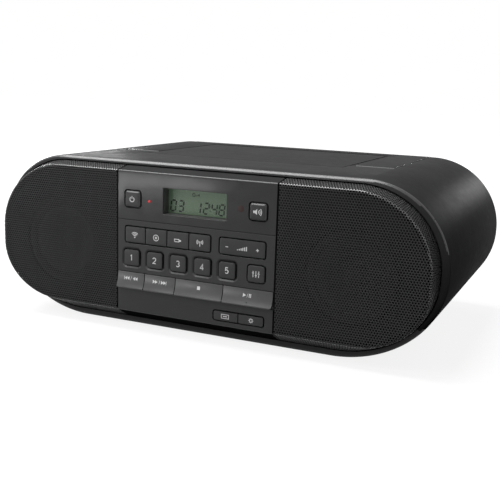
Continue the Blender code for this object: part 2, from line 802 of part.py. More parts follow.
def make_display():
    left, right, low, high = WINDOW
    frame = 2.6 * MM
    inset = 0.2 * MM
    module = box(
        "display_module",
        (left - frame, FRONT_Y + PANEL_WALL + GAP, low - frame + inset),
        (right + frame, FRONT_Y + DISPLAY_DEPTH + 3 * MM, high + frame - inset),
        "display_green",
    )
    pocket = box(
        "display_pocket",
        (left + inset, FRONT_Y, low + inset),
        (right - inset, FRONT_Y + DISPLAY_DEPTH, high - inset),
    )
    cut(module, pocket)
    lens_y = FRONT_Y + DISPLAY_DEPTH - GAP
    slack = inset + GAP
    box(
        "display_window",
        (left + slack, lens_y - LENS_THICK, low + slack),
        (right - slack, lens_y, high - slack),
        "clear_plastic",
    )
    x, z = LAMP_AT
    back_y = BOARD_Y - GAP
    front_y = FRONT_Y - FLUSH_KEY
    middle = (x, (front_y + back_y) / 2, z)
    cylinder("power_lamp", middle, "Y", LAMP_R, back_y - front_y, "lamp_red", segments=16)


def make_drivers():
    seat_y = BAFFLE_Y + BAFFLE_PLATE + GAP
    frame_profile = [
        (DRIVER_FLANGE_R, 0),
        (DRIVER_FLANGE_R, -2.5 * MM),
        (39.5 * MM, -2.5 * MM),
        (26 * MM, -20 * MM),
        (26 * MM, -36 * MM),
        (0, -36 * MM),
        (0, -23 * MM),
        (23 * MM, -20 * MM),
        (DRIVER_HOLE_R, -2 * MM),
        (DRIVER_HOLE_R, 0),
    ]
    frame_profile.append(frame_profile[0])
    thin = 1 * MM
    front = [
        (0, -6.5 * MM),
        (6 * MM, -7.5 * MM),
        (10 * MM, -10.5 * MM),
        (29 * MM, 0.5 * MM),
        (31 * MM, 1.8 * MM),
        (33 * MM, 2.3 * MM),
        (35 * MM, 1.8 * MM),
        (CONE_R, 0.4 * MM),
    ]
    back = [(radius, height - thin) for radius, height in reversed(front[1:])]
    coil = [
        (10.5 * MM, -11.8 * MM),
        (10.5 * MM, -17 * MM),
        (9.5 * MM, -17 * MM),
        (9.5 * MM, -11.5 * MM),
    ]
    cone_profile = front + back[:-2] + coil + [back[-1], (0, front[0][1] - thin)]
    for side, name in ((-1, "left"), (1, "right")):
        at = Vector((side * DRIVER_X, seat_y, DRIVER_Z))
        turned(name + "_driver_frame", frame_profile, at, "Y", "steel", steps=28)
        turned(name + "_cone", cone_profile, at, "Y", "cone_paper", steps=28)


# Top deck, lid and handle


def make_deck():
    """Tray under the lid and the handle, with webs between them and a finger scoop at the back."""
    floor_low, floor = DECK_FLOOR
    deck = box(
        "cd_deck",
        (-DECK_HALF, DECK_Y[0], floor_low),
        (DECK_HALF, DECK_Y[1], DECK_TOP_Z),
        "inner_plastic",
    )
    half, front_y, scoop_floor = SCOOP
    wall = SCOOP_WALL
    cup = box(
        "deck_scoop_cup",
        (-half - wall, front_y - wall, scoop_floor - wall),
        (half + wall, DECK_Y[1], floor_low + 1 * MM),
    )
    fuse(deck, cup)
    past = 20 * MM
    pocket_x = WEB[0]
    bar_y = HANDLE_BAR_Y - 2 * GAP
    lid_pocket = box(
        "deck_lid_pocket",
        (-pocket_x, LID_FRONT_Y - LID_SLACK, floor),
        (pocket_x, bar_y + past, TOP_Z),
    )
    arm_edge = HANDLE_X[1] + GAP
    bar_pocket = box("deck_bar_pocket", (-arm_edge, bar_y, floor), (arm_edge, DECK_Y[1] + past, TOP_Z))
    scoop = box("deck_scoop", (-half, front_y, scoop_floor), (half, DECK_Y[1] + past, TOP_Z))
    cut(deck, lid_pocket, bar_pocket, scoop)
    for side in (-1, 1):
        ends = sorted((side * WEB[1], side * arm_edge))
        arm_pocket = box(
            "deck_arm_pocket",
            (ends[0], HANDLE_FRONT_Y - 0.6 * MM, floor),
            (ends[1], DECK_Y[1] + past, TOP_Z),
        )
        cut(deck, arm_pocket)
        ends = sorted(side * x for x in WEB)
        web = box(
            "deck_web",
            (ends[0], HANDLE_FRONT_Y, floor - 1 * MM),
            (ends[1], bar_y, WEB_TOP_Z),
        )
        fuse(deck, web)
    dish = cylinder("deck_dish", (0, DISC_AT.y, floor), "Z", DISH_R, 2 * MM, segments=48)
    hub_hole = cylinder("deck_hub_hole", (0, DISC_AT.y, floor), "Z", TURNTABLE_R + 2 * MM, past)
    slot_half = 8 * MM
    lens_slot = box(
        "deck_lens_slot",
        (-slot_half, SLED_Y[0] - SLED_TRAVEL, floor - past),
        (slot_half, DISC_AT.y, floor + past),
    )
    cut(deck, dish, hub_hole, lens_slot)
    for side in (-1, 1):
        at = (side * (WEB[0] + 1 * MM), LID_HINGE.y, LID_HINGE.z)
        cut(deck, cylinder("deck_hinge_hole", at, "X", TRUNNION_R + PIN_SLACK, 3.4 * MM))
        at = (side * DECK_HALF * 0.85, HANDLE_PIVOT.y, HANDLE_PIVOT.z)
        pin_hole = cylinder("deck_pin_hole", at, "X", PIVOT_PIN_R + PIN_SLACK, 2 * past)
        cut(deck, pin_hole)


def make_lid():
    """Disc lid: a plate with a skirt, a rear barrel on the hinge line and a boss for the clamp."""
    hinge = LID_HINGE
    plate_low = TOP_Z - LID_PLATE
    skirt = 2.2 * MM
    lid = box(
        "disc_lid",
        (-LID_HALF, LID_FRONT_Y, LID_SKIRT_Z),
        (LID_HALF, hinge.y, TOP_Z),
        "shell_plastic",
    )
    hollow = box(
        "lid_hollow",
        (-LID_HALF + skirt, LID_FRONT_Y + skirt, LID_SKIRT_Z - 9 * MM),
        (LID_HALF - skirt, hinge.y - LID_BARREL_R, plate_low),
    )
    cut(lid, hollow)
    barrel_length = 2 * LID_HALF
    barrel = cylinder("lid_barrel", hinge, "X", LID_BARREL_R, barrel_length, segments=32)
    trunnion_length = 2 * (WEB[0] + 2.2 * MM)
    trunnion = cylinder("lid_trunnion", hinge, "X", TRUNNION_R, trunnion_length)
    boss = turned(
        "lid_boss",
        [
            (0, plate_low + 0.8 * MM),
            (5 * MM, plate_low + 0.8 * MM),
            (5 * MM, 134.2 * MM),
            (8 * MM, 134.2 * MM),
            (8 * MM, 133.2 * MM),
            (0, 133.2 * MM),
        ],
        DISC_AT,
        "Z",
    )
    fuse(lid, barrel, trunnion, boss)
    set_origin(lid, hinge)
    clamp_low, clamp_high = CLAMP_Z
    profile = [
        (5.6 * MM, clamp_high),
        (CLAMP_R - 4 * MM, clamp_high),
        (CLAMP_R, clamp_high - 2 * MM),
        (CLAMP_R, clamp_low),
        (8.6 * MM, clamp_low),
        (8.6 * MM, 134.8 * MM),
        (5.6 * MM, 134.8 * MM),
    ]
    turned("disc_clamp", profile, DISC_AT, "Z", "inner_plastic", ring=True)


def make_handle():
    """A flat U: two arms beside the lid and a grip bar behind it, on pins at the arms' front ends."""
    low, high = HANDLE_LOW_Z, TOP_Z
    inner, outer = HANDLE_X
    radius = (high - low) / 2
    arms = []
    for side, name in ((-1, "left"), (1, "right")):
        ends = sorted((side * inner, side * outer))
        end_points = [
            (
                HANDLE_PIVOT.y - radius * math.sin(math.pi * step / 10),
                HANDLE_PIVOT.z + radius * math.cos(math.pi * step / 10),
            )
            for step in range(11)
        ]
        profile = end_points + [(REAR_Y, low), (REAR_Y, high)]
        arms.append(prism(f"handle_{name}_arm", profile, "X", *ends))
    bar = box(
        "handle",
        (-inner - 1 * MM, HANDLE_BAR_Y, low),
        (inner + 1 * MM, REAR_Y, high),
        "shell_plastic",
    )
    fuse(bar, *arms)
    past = 5 * MM
    for side in (-1, 1):
        at = (side * (inner + outer) / 2, HANDLE_PIVOT.y, HANDLE_PIVOT.z)
        length = outer - inner + 2 * past
        cut(bar, cylinder("handle_pin_hole", at, "X", PIVOT_PIN_R + PIN_SLACK, length))
    set_origin(bar, HANDLE_PIVOT)
    for side, name in ((-1, "left"), (1, "right")):
        ends = (WEB[0] + 0.6 * MM, DECK_HALF - 0.4 * MM)
        at = (side * sum(ends) / 2, HANDLE_PIVOT.y, HANDLE_PIVOT.z)
        cylinder(f"{name}_handle_pin", at, "X", PIVOT_PIN_R, ends[1] - ends[0], "steel", segments=16)


# Disc mechanism


def make_chassis():
    low, high = CHASSIS_Z
    chassis = box(
        "cd_chassis",
        (-CHASSIS_HALF, CHASSIS_Y[0], low),
        (CHASSIS_HALF, CHASSIS_Y[1], high),
        "inner_plastic",
    )
    for x in (-1, 1):
        for y in CHASSIS_Y:
            inward = math.copysign(6 * MM, -y)
            at = (x * (CHASSIS_HALF - 6 * MM), y + inward, (low + DECK_FLOOR[0] - GAP) / 2)
            length = DECK_FLOOR[0] - GAP - low
            fuse(chassis, cylinder("chassis_post", at, "Z", 3.5 * MM, length, segments=12))
    lug = 3 * MM
    for y in (RAIL_Y[0] + lug / 2, RAIL_Y[1] - lug / 2):
        for x in (-RAIL_X, RAIL_X):
            block = box(
                "chassis_lug",
                (x - lug, y - lug / 2, RAIL_Z - lug),
                (x + lug, y + lug / 2, low + 1 * MM),
            )
            fuse(chassis, block)
    slot = box(
        "chassis_slot",
        (-SLED_HALF_X - 1.5 * MM, SLED_Y[0] - SLED_TRAVEL - 1.5 * MM, low - 2 * MM),
        (SLED_HALF_X + 1.5 * MM, SLED_Y[1] + 1.5 * MM, high + 2 * MM),
    )
    spindle_hole = cylinder("chassis_spindle_hole", (0, DISC_AT.y, low), "Z", 4 * MM, 20 * MM)
    cut(chassis, slot, spindle_hole)
    for x in (-RAIL_X, RAIL_X):
        middle = (x, sum(RAIL_Y) / 2, RAIL_Z)
        bore = cylinder("chassis_rail_bore", middle, "Y", RAIL_R + PIN_SLACK, 90 * MM, segments=16)
        cut(chassis, bore)


def make_mechanism():
    at = Vector((0, DISC_AT.y, 0))
    motor_top = CHASSIS_Z[0] - GAP
    spindle_low = motor_top - 8 * MM
    profile = [
        (0, DISC_SEAT_Z + 1.4 * MM),
        (5.6 * MM, DISC_SEAT_Z + 1.4 * MM),
        (7.3 * MM, DISC_SEAT_Z),
        (TURNTABLE_R, DISC_SEAT_Z),
        (TURNTABLE_R, DISC_SEAT_Z - 2.5 * MM),
        (3 * MM, DISC_SEAT_Z - 2.5 * MM),
        (3 * MM, CHASSIS_Z[1] + 1 * MM),
        (SPINDLE_R, CHASSIS_Z[1] + 1 * MM),
        (SPINDLE_R, spindle_low),
        (0, spindle_low),
    ]
    turned("turntable", profile, at, "Z", "inner_plastic", steps=24)
    bore = SPINDLE_R + PIN_SLACK
    profile = [
        (10 * MM, motor_top),
        (10 * MM, motor_top - 14 * MM),
        (0, motor_top - 14 * MM),
        (0, spindle_low - 1 * MM),
        (bore, spindle_low - 1 * MM),
        (bore, motor_top),
    ]
    profile.append(profile[0])
    turned("spindle_motor", profile, at, "Z", "steel", steps=24)
    sled = box(
        "pickup_sled",
        (-SLED_HALF_X, SLED_Y[0], SLED_Z[0]),
        (SLED_HALF_X, SLED_Y[1], SLED_Z[1]),
        "inner_plastic",
    )
    lens_y = sum(SLED_Y) / 2
    lens_z = (SLED_Z[1], DISC_SEAT_Z - 3.5 * MM)
    lens = cylinder(
        "sled_lens", (0, lens_y, sum(lens_z) / 2), "Z", LENS_R, lens_z[1] - lens_z[0] + 2 * MM
    )
    fuse(sled, lens)
    for x in (-RAIL_X, RAIL_X):
        bore = cylinder("sled_bore", (x, lens_y, RAIL_Z), "Y", RAIL_R + PIN_SLACK, 60 * MM, segments=16)
        cut(sled, bore)
    set_origin(sled, (0, lens_y, RAIL_Z))
    length = RAIL_Y[1] - RAIL_Y[0]
    for name, x in (("sled_rail", RAIL_X), ("sled_screw", -RAIL_X)):
        middle = Vector((x, sum(RAIL_Y) / 2, RAIL_Z))
        rod = cylinder(name, middle, "Y", RAIL_R, length, "steel", segments=16)
        set_origin(rod, middle)


# Electronics and aerial


def make_electronics():
    (left, right), y, (low, high) = MAIN_BOARD
    thick = BOARD_THICK
    board = box("main_board", (left, y, low), (right, y + thick, high), "board_green")
    sunk = y + thick / 2
    heat_sink = box("board_heat_sink", (-50 * MM, sunk, 60 * MM), (-10 * MM, y + 22 * MM, 95 * MM))
    tuner = box("board_tuner", (10 * MM, sunk, 70 * MM), (45 * MM, y + 12 * MM, 100 * MM))
    fuse(board, heat_sink, tuner)
    for x in (0, 20 * MM, 40 * MM):
        at = (x, y + 10 * MM, 40 * MM)
        fuse(board, cylinder("board_capacitor", at, "Y", 7 * MM, 19 * MM, segments=16))
    at = TRANSFORMER_AT
    core = Vector((26 * MM, 10 * MM, 22 * MM))
    transformer = box("transformer", at - core, at + core, "steel")
    winding = Vector((17 * MM, 19 * MM, 15 * MM))
    foot = Vector((26 * MM, 18 * MM, 1.5 * MM))
    foot_at = Vector((at.x, at.y, at.z - core.z + foot.z))
    fuse(
        transformer,
        box("transformer_winding", at - winding, at + winding),
        box("transformer_foot", foot_at - foot, foot_at + foot),
    )


def make_aerial():
    """Telescopic rod on a swivel and a tilt hinge, folded along the rear ledge."""
    at = AERIAL_AT
    radius = AERIAL_KNUCKLE_R
    ends_y = (REAR_Y + GAP, REAR_Y + BATTERY_BULGE - 0.3 * MM)
    middle = (at.x, sum(ends_y) / 2, at.z)
    base = cylinder("aerial_base", middle, "Y", radius, ends_y[1] - ends_y[0], "steel")
    tilt = Vector((AERIAL_TILT_X, at.y, at.z))
    ear = 1.2 * MM
    half = AERIAL_TUBE_R
    for side in (-1, 1):
        ends = sorted((at.z + side * (half - ear), at.z + side * half))
        cheek = box(
            "aerial_cheek",
            (tilt.x - 2 * MM, at.y - 2 * MM, ends[0]),
            (at.x, at.y + 2 * MM, ends[1]),
        )
        fuse(base, cheek)
    set_origin(base, at)
    tube_end = AERIAL_END_X
    tongue = half - ear - GAP
    root_x = tilt.x - 4 * MM
    length = root_x - tube_end
    tube = cylinder(
        "aerial_tube",
        ((root_x + tube_end) / 2, at.y, at.z),
        "X",
        AERIAL_TUBE_R,
        length,
        "steel",
        segments=16,
    )
    tongue_box = box(
        "aerial_tongue",
        (root_x - 2 * MM, at.y - 1.6 * MM, at.z - tongue),
        (tilt.x + 1.6 * MM, at.y + 1.6 * MM, at.z + tongue),
    )
    fuse(tube, tongue_box)
    stop = 8 * MM
    bore_low = tube_end - 10 * MM
    bore_high = root_x - stop
    bore = cylinder(
        "aerial_tube_bore",
        ((bore_low + bore_high) / 2, at.y, at.z),
        "X",
        AERIAL_BORES[0],
        bore_high - bore_low,
        segments=16,
    )
    cut(tube, bore)
    set_origin(tube, tilt)
    mid_high = bore_high - 2 * MM
    mid_low = tube_end - 3 * MM
    middle = Vector(((mid_low + mid_high) / 2, at.y, at.z))
    mid = cylinder("aerial_mid", middle, "X", AERIAL_RODS[0], mid_high - mid_low, "steel", segments=12)
    mid_bore_high = mid_high - stop
    bore = cylinder(
        "aerial_mid_bore",
        ((bore_low + mid_bore_high) / 2, at.y, at.z),
        "X",
        AERIAL_BORES[1],
        mid_bore_high - bore_low,
        segments=12,
    )
    cut(mid, bore)
    set_origin(mid, middle)
    tip_high = mid_bore_high - 2 * MM
    tip_low = mid_low - 3 * MM
    middle = Vector(((tip_low + tip_high) / 2, at.y, at.z))
    tip = cylinder("aerial_tip", middle, "X", AERIAL_RODS[1], tip_high - tip_low, "steel", segments=12)
    knob_at = (tip_low - 1 * MM, at.y, at.z)
    fuse(tip, cylinder("aerial_knob", knob_at, "X", 2.6 * MM, 5 * MM, segments=12))
    set_origin(tip, middle)


def main():
    make_shell()
    make_feet()
    make_rear_cover()
    make_battery_bay()
    make_battery_door()
    make_sockets()
    make_grilles()
    make_baffle()
    make_panel()
    make_keys()
    make_transport_keys()
    make_key_board()
    make_display()
    make_drivers()
    make_deck()
    make_lid()
    make_handle()
    make_chassis()
    make_mechanism()
    make_electronics()
    make_aerial()


clear_scene()
PARTS = new_collection("boombox")
CUTTERS = new_collection("cutters")
main()
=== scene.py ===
"""Looks of a compact stereo boombox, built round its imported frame.

Shapes are drawn in millimetres and become metres in add(). +Z is up, the front faces -Y, and the origin is
on the floor under the middle of the overall box.
"""

import math

import bmesh
import bpy
import numpy as np
from mathutils import Matrix, Vector


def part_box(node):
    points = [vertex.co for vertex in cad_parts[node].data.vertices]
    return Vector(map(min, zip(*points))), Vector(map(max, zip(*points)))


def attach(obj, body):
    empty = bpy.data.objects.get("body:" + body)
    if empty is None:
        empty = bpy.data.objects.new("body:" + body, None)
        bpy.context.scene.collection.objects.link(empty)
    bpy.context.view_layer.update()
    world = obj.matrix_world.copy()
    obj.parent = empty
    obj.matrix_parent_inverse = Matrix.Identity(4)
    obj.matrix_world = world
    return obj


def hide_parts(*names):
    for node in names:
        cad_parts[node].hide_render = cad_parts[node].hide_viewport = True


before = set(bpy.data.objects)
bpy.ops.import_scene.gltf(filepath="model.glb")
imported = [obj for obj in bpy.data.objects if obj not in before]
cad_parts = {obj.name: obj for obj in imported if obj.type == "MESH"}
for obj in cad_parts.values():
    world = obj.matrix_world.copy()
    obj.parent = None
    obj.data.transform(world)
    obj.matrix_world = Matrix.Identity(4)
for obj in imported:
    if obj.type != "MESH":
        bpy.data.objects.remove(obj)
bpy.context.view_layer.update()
MM = 0.001


def node_box(name):
    """A node's lowest and highest corners in millimetres."""
    return [Vector(corner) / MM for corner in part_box(name)]


# Places read from the frame
SHELL_LOW, SHELL_HIGH = node_box("main_shell")
HALF_WIDTH = SHELL_HIGH.x
BOTTOM_Z = SHELL_LOW.z
TOP_Z = SHELL_HIGH.z
RIM_Y = SHELL_LOW.y
REAR_Y = SHELL_HIGH.y
FRONT_Y = node_box("control_panel")[0].y
BULGE_Y = node_box("battery_door")[1].y
PANEL_HALF = node_box("control_panel")[1].x
GRILLE_INNER_X = node_box("right_grille")[0].x
FRONT_ROOT_Y = node_box("right_grille")[1].y
SIDES = (("left", -1), ("right", 1))

# Outlines seen from the front: half width, lowest and highest Z, and each corner's X and Z radius
SHELL_OUTER = (HALF_WIDTH, BOTTOM_Z, TOP_Z, (66, 65), (87, 73))
SHELL_INNER = (196, 5, 139.6, (64, 62.6), (84, 70))
FRONT_ROOT = (194.6, 6.4, 138.6, (63.5, 61.6), (82.6, 68.6))
FRONT_EDGE = (190.6, 16.9, 135.4, (62.4, 58.4), (56.6, 46.6))
EDGE_ROUND = 1.5
OUTLINE_STEPS = 40
LIP_GAP = 0.8  # between the shell's lip and the front pieces
LIP_DEPTH = 3
RIM_DEPTH = 4
RIM_SECTION = [  # share of the way from lip to outside, and share of the rim's depth
    (0, 0.12), (0.03, 0.03), (0.08, 0), (0.14, 0.02), (0.45, 0.2),
    (0.62, 0.34), (0.78, 0.52), (0.9, 0.72), (0.97, 0.92), (1, 1.15),
]
# Below this height the shell's front rim takes the near-black inner plastic: painted shade.
SHADED_RIM_Z = 34
REAR_ROUND = 2.6
REAR_LIP = 0.92
PAST = 20  # how far cutters reach beyond what they cut

# Grilles and drivers
HOLE_PITCH = 2.2
HOLE_R = 0.9
GRILLE_SHEET = 0.7
LINING_INSET = 1.4
LINING_SHEET = 0.4
DRIVER_AT = (130, FRONT_Y + 8.4, 69)
CONE_R = 36.9
CONE_EDGE_R = 29  # where the surround starts
CONE_SHEET = 0.6

# Keys: the places and sizes of their holes in the panel
PANEL_WALL = 3
KEY_SLACK = 0.6
CAP_GAP = 1.05  # round the caps
KEY_ROUND = 3.2
ROW_ROUND = 2.56
ROW_DIVIDE = 0.7
SQUARE_KEY = (16.4, 15.2)
KEY_BACK_Y = FRONT_Y + PANEL_WALL + 0.4
KEY_FLANGE = 1
KEY_FLANGE_OVER = 1.2
KEY_CROWN = 0.12
PROUD_KEY = 1.4
RAISED_KEY = 0.7
FLUSH_KEY = 0.3
HOLE_CHAMFER = 0.15
PRESET_CHAMFER = (1.3, 0.55)  # width and slope
POWER_KEY_AT = (-56.3, 112.2)
BOOST_KEY_AT = (55.6, 112.0)
SOUND_KEY_AT = (55.6, 63.3)
PRESET_FIRST_X = -57.1
PRESET_PITCH = 21.9
PRESET_Z = 63.2
PRESET_COUNT = 5
SOURCE_ROW = (-64.2, 16.2, 75.1, 90.1)
SOURCE_NAMES = [f"source_key_{number}" for number in range(1, 5)]
SETUP_ROW = (18.6, 63.8, 20.8, 30.2)
SETUP_NAMES = ["display_key", "setup_key"]
VOLUME_ROW = (22.5, 63.5, 75.1, 89.7)
TRANSPORT_Z = (37.2, 50.7)
TRANSPORT_SPLITS = (-70.6, -44.6, -15.6, 27.4, 70.6)
TRANSPORT_NAMES = ["skip_back_key", "skip_forward_key", "stop_key", "play_key"]
TRANSPORT_LIP = 3.5
TRANSPORT_LIP_R = 1.1
TRANSPORT_TOP = 0.2
TRANSPORT_RECESS = 1.9
GROOVE_Z = 94.8
GROOVE = 0.45

# Display, lamp and remote sensor
WINDOW = (-28.4, 28.4, 102.2, 123.4)
GLASS_Y = FRONT_Y + 9
LAMP_AT = (-40.8, 111.5)
LAMP_R = 1.1
LAMP_DOME = 0.25
SENSOR_AT = (40.8, 113)
SENSOR_R = 2.6
MARK_LINE = 0.6

# Lid, handle and deck
LID_HALF = 92.8
LID_FRONT_Y = -42.2
LID_SKIRT_Z = 133
LID_SKIRT = 2.2
LID_PLATE = 2.8
LID_HINGE = Vector((0, 95.4, 136.2))
LID_BARREL_R = 5.8
LID_RIB_X = 68
LID_RIB_Y = (-39, 88.5)
LID_RIB_HALF = 0.8
LID_RIB_HEIGHT = 1.6
WEB_X = 93.3
DECK_FLOOR_Z = 127
HANDLE_X = (97.2, 130.8)
HANDLE_FRONT_Y = -23.4
HANDLE_BAR_Y = 102.4
HANDLE_LOW_Z = 128.4
HANDLE_PIVOT = Vector((0, -16.6, 135.2))
HANDLE_JOINT_X = 98.4
TOP_HALF = HANDLE_X[1] + 0.8  # of the opening for lid and handle
DECK_GAP = 0.4
DISC_AT = (0, 29.5, 0)

# Rear
REAR_PLATE = 3
BULGE = (-104, 104, 9, 93)
BULGE_SOFT = 4
BAY = (-82, 82, 14.5, 87.5)
DOOR_OVER = 4
DOOR_THICK = 2.4
SCOOP_HALF = 45.4
SCOOP_Z = 113.1
AERIAL_AT = Vector((150, 127.2, 98.4))
AERIAL_TILT_X = 141
AERIAL_END_X = -48
MAINS_AT = (152, 34)
MAINS_SIZE = (28, 20)
USB_AT = (-150, 62)
USB_SIZE = (17, 9)
PHONES_AT = (-150, 40)
PHONES_R = 5
VENTS = ((-150, 88, 116), (150, 111, 122))  # middle X, lowest and highest Z
VENT_SLOTS = 7
VENT_PITCH = 5.5
VENT_HALF = 1.2
SCREW_PLACES = ((-172, 76), (-118, 76), (118, 76), (172, 76), (-118, 20), (118, 20))
SCREW_HOLE_R = 3.4
FOOT_AT = (92, 78)
FOOT_R = 9
PEG_R = 3
PEG_Z = 6

# Camera, fitted to the photograph's outline, in metres
CAMERA_AT = (0.3019, -0.6932, 0.2081)
CAMERA_RIGHT = (0.91013, 0.41304, 0.03258)
CAMERA_UP = (-0.11171, 0.16891, 0.97928)
CAMERA_BACK = (0.39898, -0.89491, 0.19987)
CAMERA_LENS = 59.03
CAMERA_SENSOR = 36

# Studio, in metres: each light's place, aim, size and power
LIGHTS = {
    "key": ((-0.4, -0.02, 1.2), (0, 0, 0.1), (0.95, 1.12), 24),
    "fill": ((-0.35, -1, 1.05), (0, 0, 0.1), (0.8, 0.5), 5),
    "back_left_card": ((-1.3, 1.25, 0.4), (-0.1, 0, 0.14), (0.6, 0.4), 14),
    "back_right_card": ((0.55, 2.0, 0.45), (0.2, 0, 0.12), (0.5, 0.3), 20),
    "front_card": ((-0.62, -0.85, 0.05), (-0.06, -0.13, 0.1), (0.5, 0.1), 1.6),
}
FLOOR_GLOW = 0.86
AMBIENT = 0.1


# Mesh helpers

TURN = {  # takes local Z to the named axis, and keeps a drawn outline upright
    "X": Matrix(((0, 1, 0), (0, 0, 1), (1, 0, 0))).transposed().to_4x4(),
    "Y": Matrix(((1, 0, 0), (0, 0, 1), (0, -1, 0))).transposed().to_4x4(),
    "Z": Matrix.Identity(4),
}


def add(name, bm, closed=True, unit=MM):
    """A new object from a bmesh, drawn in a unit. The faces of a closed one are turned outwards."""
    if closed:
        bmesh.ops.recalc_face_normals(bm, faces=bm.faces)
    bmesh.ops.scale(bm, vec=(unit, unit, unit), verts=bm.verts)
    mesh = bpy.data.meshes.new(name)
    bm.to_mesh(mesh)
    bm.free()
    obj = bpy.data.objects.new(name, mesh)
    bpy.context.scene.collection.objects.link(obj)
    return obj


def drop(*objs):
    for obj in objs:
        mesh = obj.data
        bpy.data.objects.remove(obj)
        bpy.data.meshes.remove(mesh)


def bake(obj):
    """Turns an object's modifiers into its mesh."""
    graph = bpy.context.evaluated_depsgraph_get()
    mesh = bpy.data.meshes.new_from_object(obj.evaluated_get(graph))
    old = obj.data
    obj.modifiers.clear()
    obj.data = mesh
    bpy.data.meshes.remove(old)
    return obj


def join(name, *objs):
    """One object that holds the meshes of several."""
    bm = bmesh.new()
    for obj in objs:
        bm.from_mesh(obj.data)
    drop(*objs)
    return add(name, bm, unit=1)


def combine(operation, target, *others):
    for other in others:
        modifier = target.modifiers.new("combine", "BOOLEAN")
        modifier.operation = operation
        modifier.object = other
    bake(target)
    drop(*others)
    return target


def cut(target, *cutters):
    return combine("DIFFERENCE", target, *cutters)


def fuse(target, *others):
    return combine("UNION", target, *others)


def round_edges(obj, width, segments=3, angle=40):
    bevel = obj.modifiers.new("round", "BEVEL")
    bevel.width = width * MM
    bevel.segments = segments
    bevel.limit_method = "ANGLE"
    bevel.angle_limit = math.radians(angle)
    bevel.miter_outer = "MITER_ARC"
    bevel.use_clamp_overlap = True
    return bake(obj)


def thicken(obj, thickness):
    """Makes an open sheet a thin solid, inwards from its faces."""
    wall = obj.modifiers.new("sheet", "SOLIDIFY")
    wall.thickness = thickness * MM
    wall.offset = -1
    return bake(obj)


def piece(obj, name, material, body, *nodes, slot=None, angle=38):
    """Finishes a piece: name, material, the body that it rides on and the nodes that it stands for.

    Edges sharper than the angle stay sharp, and with no angle all faces stay flat. The slot is not used.
    """
    obj.name = name
    if angle:
        obj.data.shade_smooth()
        obj.data.set_sharp_from_angle(angle=math.radians(angle))
    obj.data.materials.clear()
    obj.data.materials.append(material)
    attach(obj, body)
    if nodes:
        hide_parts(*nodes)
    if slot is None:
        slot = material.name.split(".")[0]
    return obj


def paint(obj, *finishes):
    """Gives each face the first material whose test of its middle, in millimetres, and normal holds."""
    for material, _ in finishes:
        obj.data.materials.append(material)
    for face in obj.data.polygons:
        at = face.center / MM
        for number, (_, test) in enumerate(finishes):
            if test(at, face.normal):
                face.material_index = number + 1
                break


def loft(rings, closed=False):
    """Quads between rings of equal length. The ends are capped, or joined to each other."""
    bm = bmesh.new()
    rows = [[bm.verts.new(point) for point in ring] for ring in rings]
    pairs = list(zip(rows, rows[1:]))
    if closed:
        pairs.append((rows[-1], rows[0]))
    else:
        bm.faces.new(rows[0])
        bm.faces.new(rows[-1])
    for first, second in pairs:
        for corners in zip(first, first[1:] + first[:1], second[1:] + second[:1], second):
            bm.faces.new(corners)
    return add("loft", bm)


def box(low, high):
    low = Vector(low)
    high = Vector(high)
    bm = bmesh.new()
    bmesh.ops.create_cube(bm, size=1)
    place = Matrix.Translation((low + high) / 2) @ Matrix.Diagonal((*(high - low), 1))
    bmesh.ops.transform(bm, matrix=place, verts=bm.verts)
    return add("box", bm)


def prism(points, axis, low, high):
    """A flat outline, as thick as from low to high along the axis."""
    flat = [TURN[axis] @ Vector((u, v, 0)) for u, v in points]
    along = Vector([float(letter == axis) for letter in "XYZ"])
    return loft([[point + along * level for point in flat] for level in (low, high)])


def turned(profile, centre, axis, steps=64, ring=False):
    """A profile of (radius, height) points turned about the axis."""
    bm = bmesh.new()
    verts = [bm.verts.new((radius, 0, height)) for radius, height in profile]
    if ring:
        verts.append(verts[0])
    edges = [bm.edges.new(pair) for pair in zip(verts, verts[1:])]
    geometry = list(bm.verts) + edges
    bmesh.ops.spin(bm, geom=geometry, axis=(0, 0, 1), cent=(0, 0, 0), angle=math.tau, steps=steps)
    bmesh.ops.remove_doubles(bm, verts=bm.verts, dist=0.002)
    bmesh.ops.transform(bm, matrix=Matrix.Translation(centre) @ TURN[axis], verts=bm.verts)
    return add("turned", bm)


def cylinder(centre, axis, radius, length, steps=48):
    half = length / 2
    return turned([(0, half), (radius, half), (radius, -half), (0, -half)], centre, axis, steps)


def arc(centre, radii, start, steps, sweep=90):
    """A stretch of an ellipse, or of a circle, anticlockwise from the start angle in degrees."""
    across, up = radii if isinstance(radii, tuple) else (radii, radii)
    angles = [math.radians(start + sweep * step / steps) for step in range(steps + 1)]
    return [(centre[0] + across * math.cos(a), centre[1] + up * math.sin(a)) for a in angles]


def outline(sizes, inset=0.0):
    """The points of a body outline, anticlockwise from the bottom right corner."""
    half, low, high, top, foot = sizes
    top_at = (half - top[0], high - top[1])
    foot_at = (half - foot[0], low + foot[1])
    top = (top[0] - inset, top[1] - inset)
    foot = (foot[0] - inset, foot[1] - inset)
    points = arc(foot_at, foot, -90, OUTLINE_STEPS) + arc(top_at, top, 0, OUTLINE_STEPS)
    return points + [(-x, z) for x, z in reversed(points)]


def grown(sizes, by):
    left, right, low, high = sizes
    return (left - by, right + by, low - by, high + by)


def around(at, size):
    return (at[0] - size[0] / 2, at[0] + size[0] / 2, at[1] - size[1] / 2, at[1] + size[1] / 2)


def rounded(sizes, corners, grow=0.0, steps=8):
    """A grown rectangle with one corner radius, or with four from the bottom right, anticlockwise."""
    left, right, low, high = grown(sizes, grow)
    if not isinstance(corners, tuple):
        corners = (corners,) * 4
    places = ((right, -1, low, 1), (right, -1, high, -1), (left, 1, high, -1), (left, 1, low, 1))
    points = []
    for number, (x, way_x, z, way_z) in enumerate(places):
        radius = max(corners[number] + grow, 0.05)
        points += arc((x + way_x * radius, z + way_z * radius), radius, 90 * number - 90, steps)
    return points


